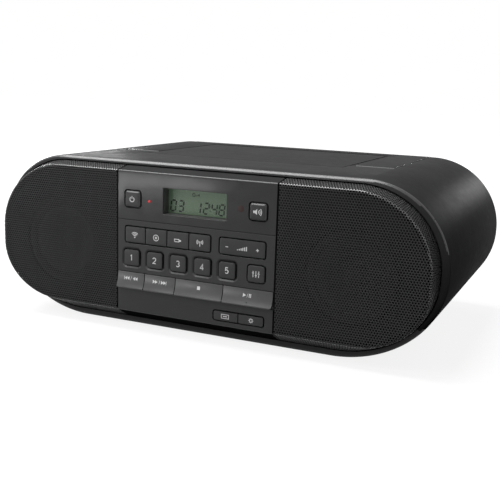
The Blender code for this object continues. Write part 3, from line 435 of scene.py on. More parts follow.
def plate(sizes, corners, section):
    """A rounded rectangle in X and Z, lofted through each (Y, growth) of a section."""
    return loft([[(x, y, z) for x, z in rounded(sizes, corners, grow)] for y, grow in section])


def quarter(size, steps=5):
    """(fall, inset) of points round a quarter circle, from the side wall to the front face."""
    for step in range(steps + 1):
        angle = math.pi / 2 * step / steps
        yield size * (1 - math.sin(angle)), size * (1 - math.cos(angle))


def arms_plan(outer, inner, front, middle, rear, corner, steps):
    """Two arms seen from above, joined behind a middle line, with round outer corners at the front."""
    plan = [(-outer, rear)] + arc((corner - outer, front + corner), corner, 180, steps)
    plan += [(-inner, front), (-inner, middle), (inner, middle), (inner, front)]
    return plan + arc((outer - corner, front + corner), corner, 270, steps) + [(outer, rear)]


# Materials

MIX_FIRST, MIX_SECOND, MIX_RESULT = 6, 7, 2  # the colour sockets of a Mix node


class Tree:
    """The nodes of a new material or world, added one at a time. A socket's name has _ for a space."""

    def __init__(self, name, kind="materials"):
        self.owner = getattr(bpy.data, kind).new(name)
        self.owner.use_nodes = True
        self.nodes = self.owner.node_tree.nodes
        self.links = self.owner.node_tree.links

    def put(self, socket, value):
        if isinstance(value, bpy.types.NodeSocket):
            self.links.new(value, socket)
        else:
            socket.default_value = value

    def add(self, kind, settings=None, **values):
        node = self.nodes.new(kind)
        for label, value in (settings or {}).items():
            setattr(node, label, value)
        return self.fill(node, values)

    def fill(self, node, values):
        for label, value in values.items():
            self.put(node.inputs[label.replace("_", " ")], value)
        return node

    def finish(self, shader="Principled BSDF", **values):
        self.fill(self.nodes[shader], values)
        return self.owner

    def place(self):
        return self.add("ShaderNodeTexCoord").outputs["Object"]

    def noise(self, scale, detail=2.0, roughness=0.5, vector=None):
        vector = vector or self.place()
        settings = {"Scale": scale, "Detail": detail, "Roughness": roughness, "Vector": vector}
        return self.add("ShaderNodeTexNoise", **settings).outputs[0]

    def remap(self, value, low, high, new_low, new_high):
        ends = {"From_Min": low, "From_Max": high, "To_Min": new_low, "To_Max": new_high}
        return self.add("ShaderNodeMapRange", Value=value, **ends).outputs["Result"]

    def spread(self, value, low, high):
        """The middle of a noise, stretched to a range."""
        return self.remap(value, 0.3, 0.7, low, high)

    def math(self, operation, first, second):
        node = self.add("ShaderNodeMath", {"operation": operation})
        self.links.new(first, node.inputs[0])
        self.links.new(second, node.inputs[1])
        return node.outputs[0]

    def blend(self, factor, first, second):
        made = self.add("ShaderNodeMix", {"data_type": "RGBA"}, Factor=factor)
        for number, value in ((MIX_FIRST, first), (MIX_SECOND, second)):
            self.put(made.inputs[number], (*value, 1) if isinstance(value, tuple) else value)
        return made.outputs[MIX_RESULT]

    def bump(self, height, depth):
        return self.add("ShaderNodeBump", Distance=depth * MM, Height=height).outputs["Normal"]


def scaled(colour, factor):
    return tuple(channel * factor for channel in colour)


def grey(value, blue=0.001):
    return (value, value, value + blue)


def moulded(name, colour, roughness, grain=0.5, depth=0.02, mottle=0.1, shade_below=None, **sockets):
    """Moulded plastic: fine grain, slow colour changes, and dust and handling in the roughness.

    On faces that look down, the colour may go down to a share of itself: painted shade.
    """
    tree = Tree(name)
    slow = tree.spread(tree.noise(28, 4, 0.6), 0, 1)
    base = tree.blend(slow, scaled(colour, 1 - mottle), scaled(colour, 1 + mottle))
    # painted shade: faces that look down get a darker share of the colour
    if shade_below:
        facing = tree.add("ShaderNodeTexCoord").outputs["Normal"]
        up = tree.add("ShaderNodeSeparateXYZ", Vector=facing).outputs["Z"]
        base = tree.blend(tree.remap(up, -0.5, 0.15, 0, 1), scaled(colour, shade_below), base)
    rough = tree.spread(tree.noise(160, 3, 0.65), roughness - 0.05, roughness + 0.05)
    normal = tree.bump(tree.noise(1 / (grain * MM), 3, 0.6), depth)
    return tree.finish(Base_Color=base, Roughness=rough, Normal=normal, **sockets)


def metal(name, colour, roughness, brushed=0.0):
    """Metal with fine marks, stretched along X where it is brushed or drawn."""
    tree = Tree(name)
    stretch = tree.add("ShaderNodeMapping", Vector=tree.place(), Scale=(1 - brushed, 1, 1))
    marks = tree.noise(2600, 3, 0.6, stretch.outputs["Vector"])
    base = tree.blend(tree.noise(60, 3), scaled(colour, 0.88), scaled(colour, 1.08))
    rough = tree.spread(marks, roughness * 0.75, roughness * 1.3)
    return tree.finish(Base_Color=base, Roughness=rough, Normal=tree.bump(marks, 0.004), Metallic=1.0)


def speckled(name, low, high, slow, rough, worn=None, fine=None, depth=0.0, glow=0.0, **sockets):
    """A finish that drifts between two colours. Its noises are given by scale, detail and roughness:
    slow for the colour, worn for the roughness, and fine for bumps of a depth.
    """
    tree = Tree(name)
    drift = tree.noise(*slow)
    base = tree.blend(drift, low, high)
    if fine:
        sockets["Normal"] = tree.bump(tree.noise(*fine), depth)
    if glow:
        sockets.update(Emission_Color=base, Emission_Strength=glow)
    marks = tree.noise(*worn) if worn else drift
    return tree.finish(Base_Color=base, Roughness=tree.spread(marks, *rough), **sockets)


def grille_material(name, roughness, specular):
    """Powder-coated sheet steel."""
    rough = (roughness - 0.05, roughness + 0.05)
    noises = {"slow": (40, 3), "worn": (300, 3), "fine": (5200, 2), "depth": 0.004}
    return speckled(name, grey(0.058), grey(0.074), rough=rough, Specular_IOR_Level=specular, **noises)


def panel_material():
    """The panel's plastic: glossy over the groove and satin below it."""
    tree = Tree("panel_plastic")
    colour = grey(0.05)
    base = tree.blend(tree.noise(30, 4, 0.6), scaled(colour, 0.92), scaled(colour, 1.08))
    height = tree.add("ShaderNodeSeparateXYZ", Vector=tree.place()).outputs["Z"]
    upper = tree.remap(height, (GROOVE_Z - 0.2) * MM, (GROOVE_Z + 0.2) * MM, 0.42, 0.14)
    smudge = tree.remap(tree.noise(90, 4, 0.65), 0.35, 0.7, -0.03, 0.05)
    rough = tree.math("ADD", upper, smudge)
    normal = tree.bump(tree.noise(2200, 2), 0.004)
    return tree.finish(Base_Color=base, Roughness=rough, Normal=normal, Specular_IOR_Level=0.15)


def board_material():
    """Circuit board: green solder mask over copper tracks."""
    tree = Tree("board_green")
    brick = tree.add("ShaderNodeTexBrick", Vector=tree.place(), Scale=260.0, Mortar_Size=0.03)
    tracks = brick.outputs["Fac"]
    mask = tree.blend(tree.noise(120, 3), (0.012, 0.1, 0.04), (0.02, 0.14, 0.055))
    base = tree.blend(tracks, mask, (0.05, 0.22, 0.09))
    rough = tree.spread(tree.noise(400), 0.3, 0.5)
    return tree.finish(Base_Color=base, Roughness=rough, Normal=tree.bump(tracks, 0.05))


SATIN = {"Specular_IOR_Level": 0.0, "Metallic": 0.17, "Specular_Tint": (0.35, 0.35, 0.35, 1)}
DULL = {"Specular_IOR_Level": 0.2}
SOFT = {"Specular_IOR_Level": 0.4}
MATT = {"Specular_IOR_Level": 0.0}
# The shell plastic paints shade on faces that look down, down to 0.12 of its colour.
SHELL = moulded("shell_plastic", grey(0.038), 0.36, 0.45, 0.012, shade_below=0.12, **SATIN)
# A glossier plastic, paler than the shell's, put mostly on edges that face up to the lamps: painted
# highlight lines.
HIGHLIGHT_EDGE = moulded("edge_highlight_plastic", grey(0.045), 0.3, 0.45, 0.004)
PANEL = panel_material()
KEY = moulded("key_plastic", grey(0.045), 0.42, 0.4, 0.006, **DULL)
TRANSPORT = moulded("transport_plastic", grey(0.08), 0.36, 0.4, 0.006, **SOFT)
# A pale grey for the display case and the window's side walls, standing for light on them: painted light.
PAINTED_LIGHT_FRAME = moulded("window_frame_painted_light", grey(0.14, 0), 0.5, 0.4, 0.006, **DULL)
INNER = moulded("inner_plastic", grey(0.006, 0), 0.6, 0.6, 0.03, **DULL)
RUBBER = moulded("rubber", grey(0.012, 0), 0.8, 0.3, 0.03, 0.2)
CONE = moulded("cone_paper", grey(0.06, 0), 0.75, 0.9, 0.05, 0.25, **DULL)
PRINT = moulded("label_print", grey(0.88, 0), 0.6, 0.2, 0.004, 0.08)
SEGMENT = moulded("segment_black", (0.003, 0.006, 0.003), 0.7, 0.3, 0.002, **MATT)
SENSOR = moulded("sensor_dark", (0.035, 0.02, 0.018), 0.4, 0.3, 0.001, **DULL)
GRILLE = grille_material("grille_steel", 0.36, 0.05)
BEND_HIGHLIGHT_STEEL = grille_material("grille_bend_steel", 0.22, 1.0)  # glossier, on the upward bend only, for a painted highlight line
GLASS = speckled(  # the back of the liquid crystal cell, lit from its edge
    "display_green", (0.07, 0.128, 0.067), (0.085, 0.152, 0.08), (45, 3), (0.42, 0.55),
    worn=(5000, 1), fine=(5000, 1), depth=0.002, glow=0.12,
)
LENS = speckled(  # with a few fine smears
    "clear_plastic", (0.5, 0.55, 0.5), (0.62, 0.66, 0.62), (70, 4, 0.65), (0.03, 0.12), Alpha=0.06
)
LAMP = speckled("lamp_red", (0.55, 0.012, 0.015), (0.75, 0.03, 0.03), (900, 2), (0.2, 0.4), glow=0.3)
BOARD = board_material()
STEEL = metal("steel", (0.5, 0.5, 0.51), 0.34)
CHROME = metal("aerial_chrome", (0.72, 0.72, 0.74), 0.1, brushed=0.95)
BRASS = metal("contact_brass", (0.7, 0.52, 0.26), 0.25)


# Shell and feet


def away_from_loop(loop):
    """Unit steps outwards at the points of an anticlockwise loop."""
    run = np.roll(loop, -1, axis=0) - np.roll(loop, 1, axis=0)
    away = np.column_stack((run[:, 1], -run[:, 0]))
    return away / np.linalg.norm(away, axis=1)[:, None]


def make_shell():
    """A straight tube with a chamfered lip round the front, cut away at the top for lid and handle."""
    outer = np.array(outline(SHELL_OUTER))
    inner = np.array(outline(SHELL_INNER))
    down = (RIM_Y - FRONT_Y - EDGE_ROUND) / (FRONT_ROOT_Y - FRONT_Y - EDGE_ROUND)
    wall = np.array(outline(FRONT_EDGE)) * (1 - down) + np.array(outline(FRONT_ROOT)) * down
    lip = wall + away_from_loop(wall) * LIP_GAP

    def ring(y, first, second=outer, share=0.0):
        return [(x, y, z) for x, z in first * (1 - share) + second * share]

    rings = [ring(RIM_Y + depth * RIM_DEPTH, lip, outer, share) for share, depth in RIM_SECTION]
    for fall, inset in quarter(1, 8):
        rings.append(ring(REAR_Y - REAR_ROUND * fall, outer, inner, REAR_LIP * inset))
    rings.append(ring(REAR_Y - 0.3, inner))
    rings.append(ring(RIM_Y + LIP_DEPTH, inner))
    rings.append(ring(RIM_Y + LIP_DEPTH - 0.5, lip))
    shell = loft(rings, closed=True)
    handle_y = HANDLE_FRONT_Y - 0.6
    lid_y = LID_FRONT_Y - 0.5
    plan = arms_plan(TOP_HALF, WEB_X, handle_y, lid_y, REAR_Y + PAST, corner=2, steps=6)
    cut(shell, prism(plan, "Z", DECK_FLOOR_Z + DECK_GAP, TOP_Z + PAST))
    round_edges(shell, 0.4, 2, 50)
    piece(shell, "shell", SHELL, "cabinet", "main_shell")

    def on_rim(at, normal):
        return at.y < RIM_Y + RIM_DEPTH and normal.y < -0.05

    paint(
        shell,
        # painted shade: the rim's faces below this height get the near-black inner plastic
        (INNER, lambda at, normal: on_rim(at, normal) and at.z < SHADED_RIM_Z),
        # painted highlight: the rim's upward faces get the glossier, paler edge plastic
        (HIGHLIGHT_EDGE, lambda at, normal: on_rim(at, normal) and normal.y > -0.76 and normal.z > 0.2),
    )


def make_feet():
    top = BOTTOM_Z - 0.2
    profile = [(0, PEG_Z), (PEG_R, PEG_Z), (PEG_R, top), (FOOT_R, top)]
    profile += [(FOOT_R - inset, fall) for fall, inset in quarter(0.8)]
    profile += [(6.2, 0), (5.8, 0.5), (4.6, 0.5), (4.2, 0), (0, 0)]
    for end, way in (("front", -1), ("rear", 1)):
        for word, side in SIDES:
            foot = turned(profile, (side * FOOT_AT[0], way * FOOT_AT[1], 0), "Z", 48)
            piece(foot, f"{end}_{word}_rubber_foot", RUBBER, "cabinet", f"{end}_{word}_foot")


# Grilles and drivers


def nearest_on(loop, points):
    """Whether points lie inside a convex loop, their distance to it, and the nearest place on it.

    A place is a corner's number plus a share of the way to the next one.
    """
    best = np.full(len(points), np.inf)
    place = np.zeros(len(points))
    inside = np.ones(len(points), bool)
    for number, (start, end) in enumerate(zip(loop, np.roll(loop, -1, axis=0))):
        along = end - start
        away = points - start
        inside &= along[0] * away[:, 1] - along[1] * away[:, 0] >= 0
        share = np.clip(away @ along / (along @ along), 0, 1)
        gap = np.linalg.norm(away - share[:, None] * along, axis=1)
        closer = gap < best
        best[closer] = gap[closer]
        place[closer] = number + share[closer]
    return inside, best, place


def along_loop(loop, place):
    number = np.floor(place).astype(int)
    share = (place - number)[:, None]
    number %= len(loop)
    return loop[number] * (1 - share) + loop[(number + 1) % len(loop)] * share


def fold(points):
    """Lays flat (X, Z) points over the front: face, rounded edge and side wall. Says which ones fit."""
    face = np.array(outline(FRONT_EDGE, EDGE_ROUND))
    inside, beyond, place = nearest_on(face, points)
    start = along_loop(face, place)
    edge = along_loop(np.array(outline(FRONT_EDGE)), place)
    root = along_loop(np.array(outline(FRONT_ROOT)), place)
    bend = EDGE_ROUND * math.pi / 2
    angle = np.clip(beyond / bend, 0, 1) * math.pi / 2
    wall_depth = FRONT_ROOT_Y - FRONT_Y - EDGE_ROUND
    wall = np.sqrt(np.sum((root - edge) ** 2, axis=1) + wall_depth**2)
    down = np.clip((beyond - bend) / wall, 0, 1)
    flat = start + (edge - start) * np.sin(angle)[:, None] + (root - edge) * down[:, None]
    depth = EDGE_ROUND * (1 - np.cos(angle)) + wall_depth * down
    flat = np.where(inside[:, None], points, flat)
    depth = np.where(inside, 0, depth)
    folded = np.column_stack((flat[:, 0], FRONT_Y + depth, flat[:, 1]))
    return folded, inside | (beyond < bend + wall)


def perforated(side):
    """One grille: hexagonal cells, each with a hole, folded over the front and down its wall."""
    rise = HOLE_PITCH * math.sqrt(3) / 2
    cell = HOLE_PITCH / math.sqrt(3)
    spare = 24
    low_z = FRONT_EDGE[1] - spare
    first = math.floor((GRILLE_INNER_X - 2 * HOLE_PITCH) / HOLE_PITCH)
    last = math.ceil((FRONT_EDGE[0] + spare) / HOLE_PITCH)
    rows = math.ceil((FRONT_EDGE[2] + spare - low_z) / rise)
    columns, levels = np.meshgrid(np.arange(first, last), np.arange(rows))
    x = side * (columns + 0.5 * (levels % 2)) * HOLE_PITCH
    centres = np.column_stack((x.ravel(), (low_z + levels * rise).ravel()))
    sides = 6
    angles = np.radians(30 + 360 / sides * np.arange(sides))
    spokes = np.column_stack((np.cos(angles), np.sin(angles)))
    rings = [centres[:, None] + radius * spokes for radius in (cell, HOLE_R)]
    points = np.concatenate(rings, axis=1).reshape(-1, 2)
    weld = 0.01
    _, kept, index = np.unique(np.round(points / weld), axis=0, return_index=True, return_inverse=True)
    folded, fits = fold(points[kept])
    bm = bmesh.new()
    verts = [bm.verts.new(point) for point in folded]
    for corners in index.reshape(-1, 2 * sides):
        if fits[corners].all():
            for k in range(sides):
                n = (k + 1) % sides
                bm.faces.new([verts[corners[i]] for i in (k, n, sides + n, sides + k)])
    everything = bm.verts[:] + bm.edges[:] + bm.faces[:]
    inner = (side * GRILLE_INNER_X, 0, 0)
    bmesh.ops.bisect_plane(bm, geom=everything, plane_co=inner, plane_no=(-side, 0, 0), clear_outer=True)
    loose = [vert for vert in bm.verts if not vert.link_faces]
    bmesh.ops.delete(bm, geom=loose, context="VERTS")
    return thicken(add("grille", bm, closed=False), GRILLE_SHEET)


# The upward faces of the grille's bend, which take the glossier steel for a painted highlight line.
def on_bend(at, normal):
    return at.y < FRONT_Y + EDGE_ROUND and -0.98 < normal.y < -0.1 and normal.z > 0.05


def make_grilles():
    for word, side in SIDES:
        grille = perforated(side)
        piece(grille, f"{word}_perforated_grille", GRILLE, "cabinet", f"{word}_grille", angle=60)
        paint(grille, (BEND_HIGHLIGHT_STEEL, on_bend))


def make_linings():
    """Dark strips behind the holes in the grilles' side walls."""
    for word, side in SIDES:
        inner = side * GRILLE_INNER_X
        bm = bmesh.new()
        rows = []
        for sizes, y in ((FRONT_EDGE, FRONT_Y + EDGE_ROUND), (FRONT_ROOT, FRONT_ROOT_Y)):
            points = [(x, z) for x, z in outline(sizes, LINING_INSET) if side * x > 0]
            points = [(inner, points[0][1])] + points + [(inner, points[-1][1])]
            rows.append([bm.verts.new((x, y, z)) for x, z in points])
        near, far = rows
        for corners in zip(near, near[1:], far[1:], far):
            bm.faces.new(corners)
        lining = thicken(add("lining", bm), LINING_SHEET)
        piece(lining, f"{word}_grille_lining", INNER, "cabinet")


def make_cones():
    """Paper cones with a dust cap, a half-round surround and a voice coil behind them."""
    shares = (0.2, 0.4, 0.6, 0.8)
    cap_r = 10
    slope = CONE_EDGE_R - cap_r
    middle, neck, edge = -6.5, -10.5, 0.5  # heights of the cap's middle, its edge and the cone's edge
    curve = 0.9
    front = [(0, middle)]
    front += [(1 + (cap_r - 1) * t, middle + (neck - middle) * t**2) for t in (*shares, 1)]
    for t in shares:
        front.append((cap_r + slope * t, neck + (edge - neck) * t + curve * math.sin(math.pi * t)))
    front.append((CONE_EDGE_R, edge))
    roll_r, roll_half, roll_height = 33, 3.6, 2
    for a in np.linspace(0.1, math.pi - 0.1, 9):
        front.append((roll_r - roll_half * math.cos(a), edge + roll_height * math.sin(a)))
    front.append((CONE_R, edge - 0.1))
    coil_end = -17
    coil = [(10.5, -11.4), (10.5, coil_end), (9.5, coil_end), (9.5, -11.2)]
    back = [(radius, height - CONE_SHEET) for radius, height in reversed(front)]
    outside = [point for point in back if point[0] > coil[0][0]]
    inside = [point for point in back if point[0] < coil[-1][0]]
    for word, side in SIDES:
        place = Vector((side * DRIVER_AT[0], *DRIVER_AT[1:]))
        cone = turned(front + outside + coil + inside, place, "Y", 72)
        piece(cone, f"{word}_paper_cone", CONE, f"{word}_cone", f"{word}_cone")
        paint(cone, (RUBBER, lambda at, normal: (at - place).xz.length > CONE_EDGE_R))


# Panel, keys and display


def square_keys():
    """Name, centre and height above the panel of each square key."""
    yield "power_key", POWER_KEY_AT, PROUD_KEY
    yield "boost_key", BOOST_KEY_AT, PROUD_KEY
    yield "sound_key", SOUND_KEY_AT, RAISED_KEY
    for number in range(PRESET_COUNT):
        yield f"preset_key_{number + 1}", (PRESET_FIRST_X + number * PRESET_PITCH, PRESET_Z), RAISED_KEY


def hole_cutter(sizes, corner, chamfer=HOLE_CHAMFER, slope=1.0):
    """A cutter for a hole whose front edge is chamfered."""
    section = [(FRONT_Y - 1, chamfer + 1 / slope), (FRONT_Y + chamfer * slope, 0), (FRONT_Y + 10, 0)]
    return plate(sizes, corner, section)


# The panel's top and bottom walls take the shell plastic, so the bottom wall carries its painted shade.
def panel_wall(at, normal):
    return abs(normal.z) > 0.8 and not FRONT_EDGE[1] <= at.z <= FRONT_EDGE[2] - 0.6 * EDGE_ROUND


def panel_edge(at, normal):
    """The upward faces of the preset keys' chamfers and of the bend at the top, which take the glossier
    edge plastic for painted highlight lines.
    """
    chamfer = abs(at.z - PRESET_Z) < SQUARE_KEY[1] and 0.2 < normal.z < 0.95
    return chamfer or (at.z > FRONT_EDGE[2] - EDGE_ROUND and normal.z > 0.3)


# The window's side walls take the pale frame grey, painted light; its top and bottom walls stay panel
# plastic.
def window_wall(at, normal):
    return abs(at.x) < WINDOW[1] + 1 and at.z > GROOVE_Z + 1 and abs(normal.x) > 0.5


def make_panel():
    top = FRONT_EDGE[2]
    low = FRONT_EDGE[1]
    front = FRONT_Y + EDGE_ROUND
    inner = FRONT_Y + PANEL_WALL
    back = FRONT_ROOT_Y
    profile = [(back, FRONT_ROOT[2])]
    profile += arc((front, top - EDGE_ROUND), EDGE_ROUND, 90, 8)
    profile += arc((front, low + EDGE_ROUND), EDGE_ROUND, 180, 8)
    profile += [(back, FRONT_ROOT[1]), (back, FRONT_ROOT[1] + 1.2 * PANEL_WALL)]
    profile += [(inner, low + 0.87 * PANEL_WALL), (inner, top - 1.02 * PANEL_WALL)]
    profile += [(back, FRONT_ROOT[2] - 1.02 * PANEL_WALL)]
    panel = prism(profile, "X", -PANEL_HALF, PANEL_HALF)
    round_edges(panel, 0.35, 2, 60)
    cutters = []
    for name, at, _ in square_keys():
        chamfer = PRESET_CHAMFER if name.startswith("preset") else (HOLE_CHAMFER,)
        cutters.append(hole_cutter(around(at, SQUARE_KEY), KEY_ROUND, *chamfer))
    cutters += [hole_cutter(row, ROW_ROUND) for row in (SOURCE_ROW, VOLUME_ROW, SETUP_ROW)]
    cutters.append(hole_cutter(WINDOW, 0.8, 0.2))
    cutters.append(cylinder((LAMP_AT[0], FRONT_Y, LAMP_AT[1]), "Y", LAMP_R + 0.15, PAST, 32))
    end = PANEL_HALF + PAST
    recess_low = (-end, FRONT_Y - PAST, TRANSPORT_Z[0] - KEY_SLACK)
    recess_high = (end, FRONT_Y + TRANSPORT_RECESS, TRANSPORT_Z[1] + KEY_SLACK)
    cutters.append(box(recess_low, recess_high))
    groove = [(-GROOVE, -2 * GROOVE), (GROOVE, 0), (-GROOVE, 2 * GROOVE)]
    cutters.append(prism([(FRONT_Y + y, GROOVE_Z + z) for y, z in groove], "X", -end, end))
    cut(panel, join("panel_cutters", *cutters))
    piece(panel, "panel", PANEL, "cabinet", "control_panel", angle=20)
    paint(panel, (SHELL, panel_wall), (HIGHLIGHT_EDGE, panel_edge), (PAINTED_LIGHT_FRAME, window_wall))


def key_cap(name, sizes, corners, proud, edge, flange=0.0, chamfer=False):
    """A key with soft edges, a slightly crowned face and, where there is room, a flange at the back."""
    face = FRONT_Y - proud
    section = [(KEY_BACK_Y + KEY_FLANGE, flange), (KEY_BACK_Y, flange)]
    if flange:
        section.append((KEY_BACK_Y, 0))
    steps = ((1, 0), (0.9, 0.02), (0.16, 0.8), (0.04, 0.93), (0, 1)) if chamfer else quarter(1)
    section += [(face + edge * fall, -edge * inset) for fall, inset in steps]
    section += [(face - KEY_CROWN / 2, -edge - 0.8), (face - KEY_CROWN, -edge - 2.4)]
    cap = plate(sizes, corners, section)
    piece(cap, name + "_cap", KEY, name, name)
    if chamfer:
        # painted highlight: the chamfer takes the glossier edge plastic
        paint(cap, (HIGHLIGHT_EDGE, lambda at, normal: -0.95 < normal.y < -0.1))


def make_keys():
    size = [side - 2 * CAP_GAP for side in SQUARE_KEY]
    corner = KEY_ROUND - CAP_GAP
    flange = CAP_GAP + KEY_FLANGE_OVER
    for name, at, proud in square_keys():
        chamfer = proud == PROUD_KEY
        key_cap(name, around(at, size), corner, proud, 1.2 if chamfer else 0.5, flange, chamfer)
    small = 0.4
    outer = ROW_ROUND - CAP_GAP
    for names, (left, right, low, high) in ((SOURCE_NAMES, SOURCE_ROW), (SETUP_NAMES, SETUP_ROW)):
        pitch = (right - left) / len(names)
        for number, name in enumerate(names):
            start, start_gap = (small, ROW_DIVIDE / 2) if number else (outer, CAP_GAP)
            end, end_gap = (small, ROW_DIVIDE / 2) if name != names[-1] else (outer, CAP_GAP)
            key_left = left + number * pitch
            sizes = (key_left + start_gap, key_left + pitch - end_gap, low + CAP_GAP, high - CAP_GAP)
            key_cap(name, sizes, (end, end, start, start), FLUSH_KEY, 0.3)
    key_cap("volume_rocker", grown(VOLUME_ROW, -CAP_GAP), outer, FLUSH_KEY, 0.3)


def transport_face(z):
    """Y of the hollow front of a transport key at a height."""
    low, high = TRANSPORT_Z
    share = min(max((high - z) / (high - low - TRANSPORT_LIP_R), 0), 1)
    return FRONT_Y - TRANSPORT_TOP - (TRANSPORT_LIP - TRANSPORT_TOP) * share**2.3


def make_transport_keys():
    low, high = TRANSPORT_Z
    lip_y = FRONT_Y - TRANSPORT_LIP
    lip = TRANSPORT_LIP_R
    steps = 12
    profile = [(FRONT_Y + 0.5, low), (FRONT_Y + 0.5, high)]
    for step in range(steps + 1):
        z = high + (low + lip - high) * step / steps
        profile.append((transport_face(z), z))
    profile += arc((lip_y + lip, low + lip), lip, 180, 5)[1:]
    big = 2.6
    small = 0.25
    for name, left, right in zip(TRANSPORT_NAMES, TRANSPORT_SPLITS, TRANSPORT_SPLITS[1:]):
        left += ROW_DIVIDE / 2
        right -= ROW_DIVIDE / 2
        key = prism(profile, "X", left, right)
        start = big if name == TRANSPORT_NAMES[0] else small
        end = big if name == TRANSPORT_NAMES[-1] else small
        front = rounded((left, right, low, high), (end, small, small, start))
        combine("INTERSECT", key, prism(front, "Y", lip_y - 5, FRONT_Y + 5))
        round_edges(key, 0.3, 3, 45)
        piece(key, name + "_cap", TRANSPORT, name, name, angle=30)


def make_display():
    """A frame behind the panel, the glass, the clear lens, the lamp and the remote sensor's window."""
    rim = 2.6
    left, right, low, high = grown(WINDOW, rim)
    case = box((left, KEY_BACK_Y, low), (right, GLASS_Y + 3, high))
    overlap = 0.2
    left, right, low, high = grown(WINDOW, -overlap)
    cut(case, box((left, KEY_BACK_Y - 5, low), (right, GLASS_Y + 0.8, high)))
    round_edges(case, 0.2, 2)
    piece(case, "display_case", PAINTED_LIGHT_FRAME, "cabinet", "display_module", slot="inner_plastic", angle=None)
    glass = plate(grown(WINDOW, -0.3), 0.5, [(GLASS_Y + 0.7, 0), (GLASS_Y + 0.1, 0), (GLASS_Y, -0.1)])
    piece(glass, "display_glass", GLASS, "cabinet")
    low, high = node_box("display_window")
    lens = plate((low.x, high.x, low.z, high.z), 0.6, [(high.y, 0), (low.y + 0.2, 0), (low.y, -0.2)])
    piece(lens, "display_lens", LENS, "cabinet", "display_window")
    low, high = node_box("power_lamp")
    reach = high.y - low.y
    dome = [(LAMP_R * math.cos(a), LAMP_DOME * math.sin(a)) for a in (1.2, 0.8, 0.4, 0)]
    profile = [(0, LAMP_DOME), *dome, (LAMP_R, -reach), (0, -reach)]
    lamp = turned(profile, (LAMP_AT[0], low.y, LAMP_AT[1]), "Y", 32)
    piece(lamp, "lamp_lens", LAMP, "cabinet", "power_lamp")
    dome, back = 0.04, -0.4
    profile = [(0, dome), (SENSOR_R - 0.2, dome), (SENSOR_R, 0), (SENSOR_R, back), (0, back)]
    sensor = turned(profile, (SENSOR_AT[0], FRONT_Y, SENSOR_AT[1]), "Y", 40)
    piece(sensor, "remote_sensor_window", SENSOR, "cabinet", slot="panel_plastic")


# Printed marks, drawn about their own middle


def bar(x, z, width, height, slant=0.0):
    """A rectangle about a middle point, leaning over by a share of its height."""
    lean = slant * height / 2
    corners = ((-width / 2, -1), (width / 2, -1), (width / 2, 1), (-width / 2, 1))
    return [(x + dx + way * lean, z + way * height / 2) for dx, way in corners]


def band(x, z, radius, width, start, sweep, steps=20):
    """A stretch of a ring."""
    outer = arc((x, z), radius + width / 2, start, steps, sweep)
    inner = arc((x, z), radius - width / 2, start, steps, sweep)
    return outer + inner[::-1]


def ring_mark(x, z, radius, width):
    return [band(x, z, radius, width, start, 180) for start in (0, 180)]


def triangle(x, width, height):
    """A triangle that points to +X for a positive width."""
    return [(x - width / 2, -height / 2), (x + width / 2, 0), (x - width / 2, height / 2)]


SEGMENTS = {"0": "abcdef", "1": "bc", "2": "abged", "3": "abgcd", "4": "fgbc", "8": "abcdefg"}


def segment_digit(character, x, z, width, height, stroke, slant=0.12):
    """A seven-segment digit about a middle point."""
    half = width / 2
    tall = height / 2
    short = 0.94
    flat = ((width - stroke) * short, stroke)
    upright = (stroke, (tall - stroke / 2) * short)
    places = {
        "a": (0, tall, flat), "g": (0, 0, flat), "d": (0, -tall, flat),
        "b": (half, tall / 2, upright), "c": (half, -tall / 2, upright),
        "f": (-half, tall / 2, upright), "e": (-half, -tall / 2, upright),
    }
    chosen = [places[letter] for letter in SEGMENTS[character]]
    return [bar(x + dx + slant * dz, z + dz, *size, slant) for dx, dz, size in chosen]


def stroke_path(points, width):
    """A line of even width through points, as one outline with mitred corners."""
    points = [Vector(point) for point in points]
    sides = []
    for number, point in enumerate(points):
        before = (point - points[number - 1]).normalized() if number else None
        after = (points[number + 1] - point).normalized() if number < len(points) - 1 else None
        near = before or after
        run = (near + (after or before)).normalized()
        across = Vector((-run.y, run.x))
        reach = across * width / 2 / max(across.dot(Vector((-near.y, near.x))), 0.5)
        sides.append((point + reach, point - reach))
    return [tuple(a) for a, _ in sides] + [tuple(b) for _, b in reversed(sides)]


def digit_paths(character, height):
    """A plain numeral drawn with lines and arcs."""
    h = height / 2
    w = 0.3 * height
    if character == "1":
        return [[(-0.5 * w, 0.62 * h), (0.15 * w, h), (0.15 * w, -h)]]
    if character == "2":
        return [arc((0, h - w), w, 165, 10, -195) + [(-w, -h), (w, -h)]]
    if character == "3":
        upper = arc((0, 0.5 * h), (0.9 * w, 0.5 * h), 150, 10, -240)
        return [upper, arc((0, -0.5 * h), (w, 0.5 * h), 90, 10, -240)]
    if character == "4":
        return [[(0.45 * w, -h), (0.45 * w, h), (-w, -0.42 * h), (1.05 * w, -0.42 * h)]]
    bowl = arc((-0.05 * w, -0.36 * h), (w, 0.62 * h), 125, 12, -265)
    return [[(0.8 * w, h), (-0.65 * w, h), (-0.75 * w, 0.02 * h)] + bowl[1:]]


def print_marks(name, body, at, surface, shapes, material=PRINT, thick=0.05):
    """Thin printed shapes round a place, on a surface given as a Y, or as a function from Z to Y."""
    solids = []
    for points in shapes:
        places = []
        for u, v in points:
            z = at[1] + v
            places.append((at[0] + u, surface(z) if callable(surface) else surface, z))
        solids.append(loft([[(x, y + level, z) for x, y, z in places] for level in (-thick, 4 * thick)]))
    piece(join(name, *solids), name, material, body, slot="", angle=None)


def key_mark(name, key, at, proud, shapes):
    print_marks(name, key, at, FRONT_Y - proud - KEY_CROWN, shapes)


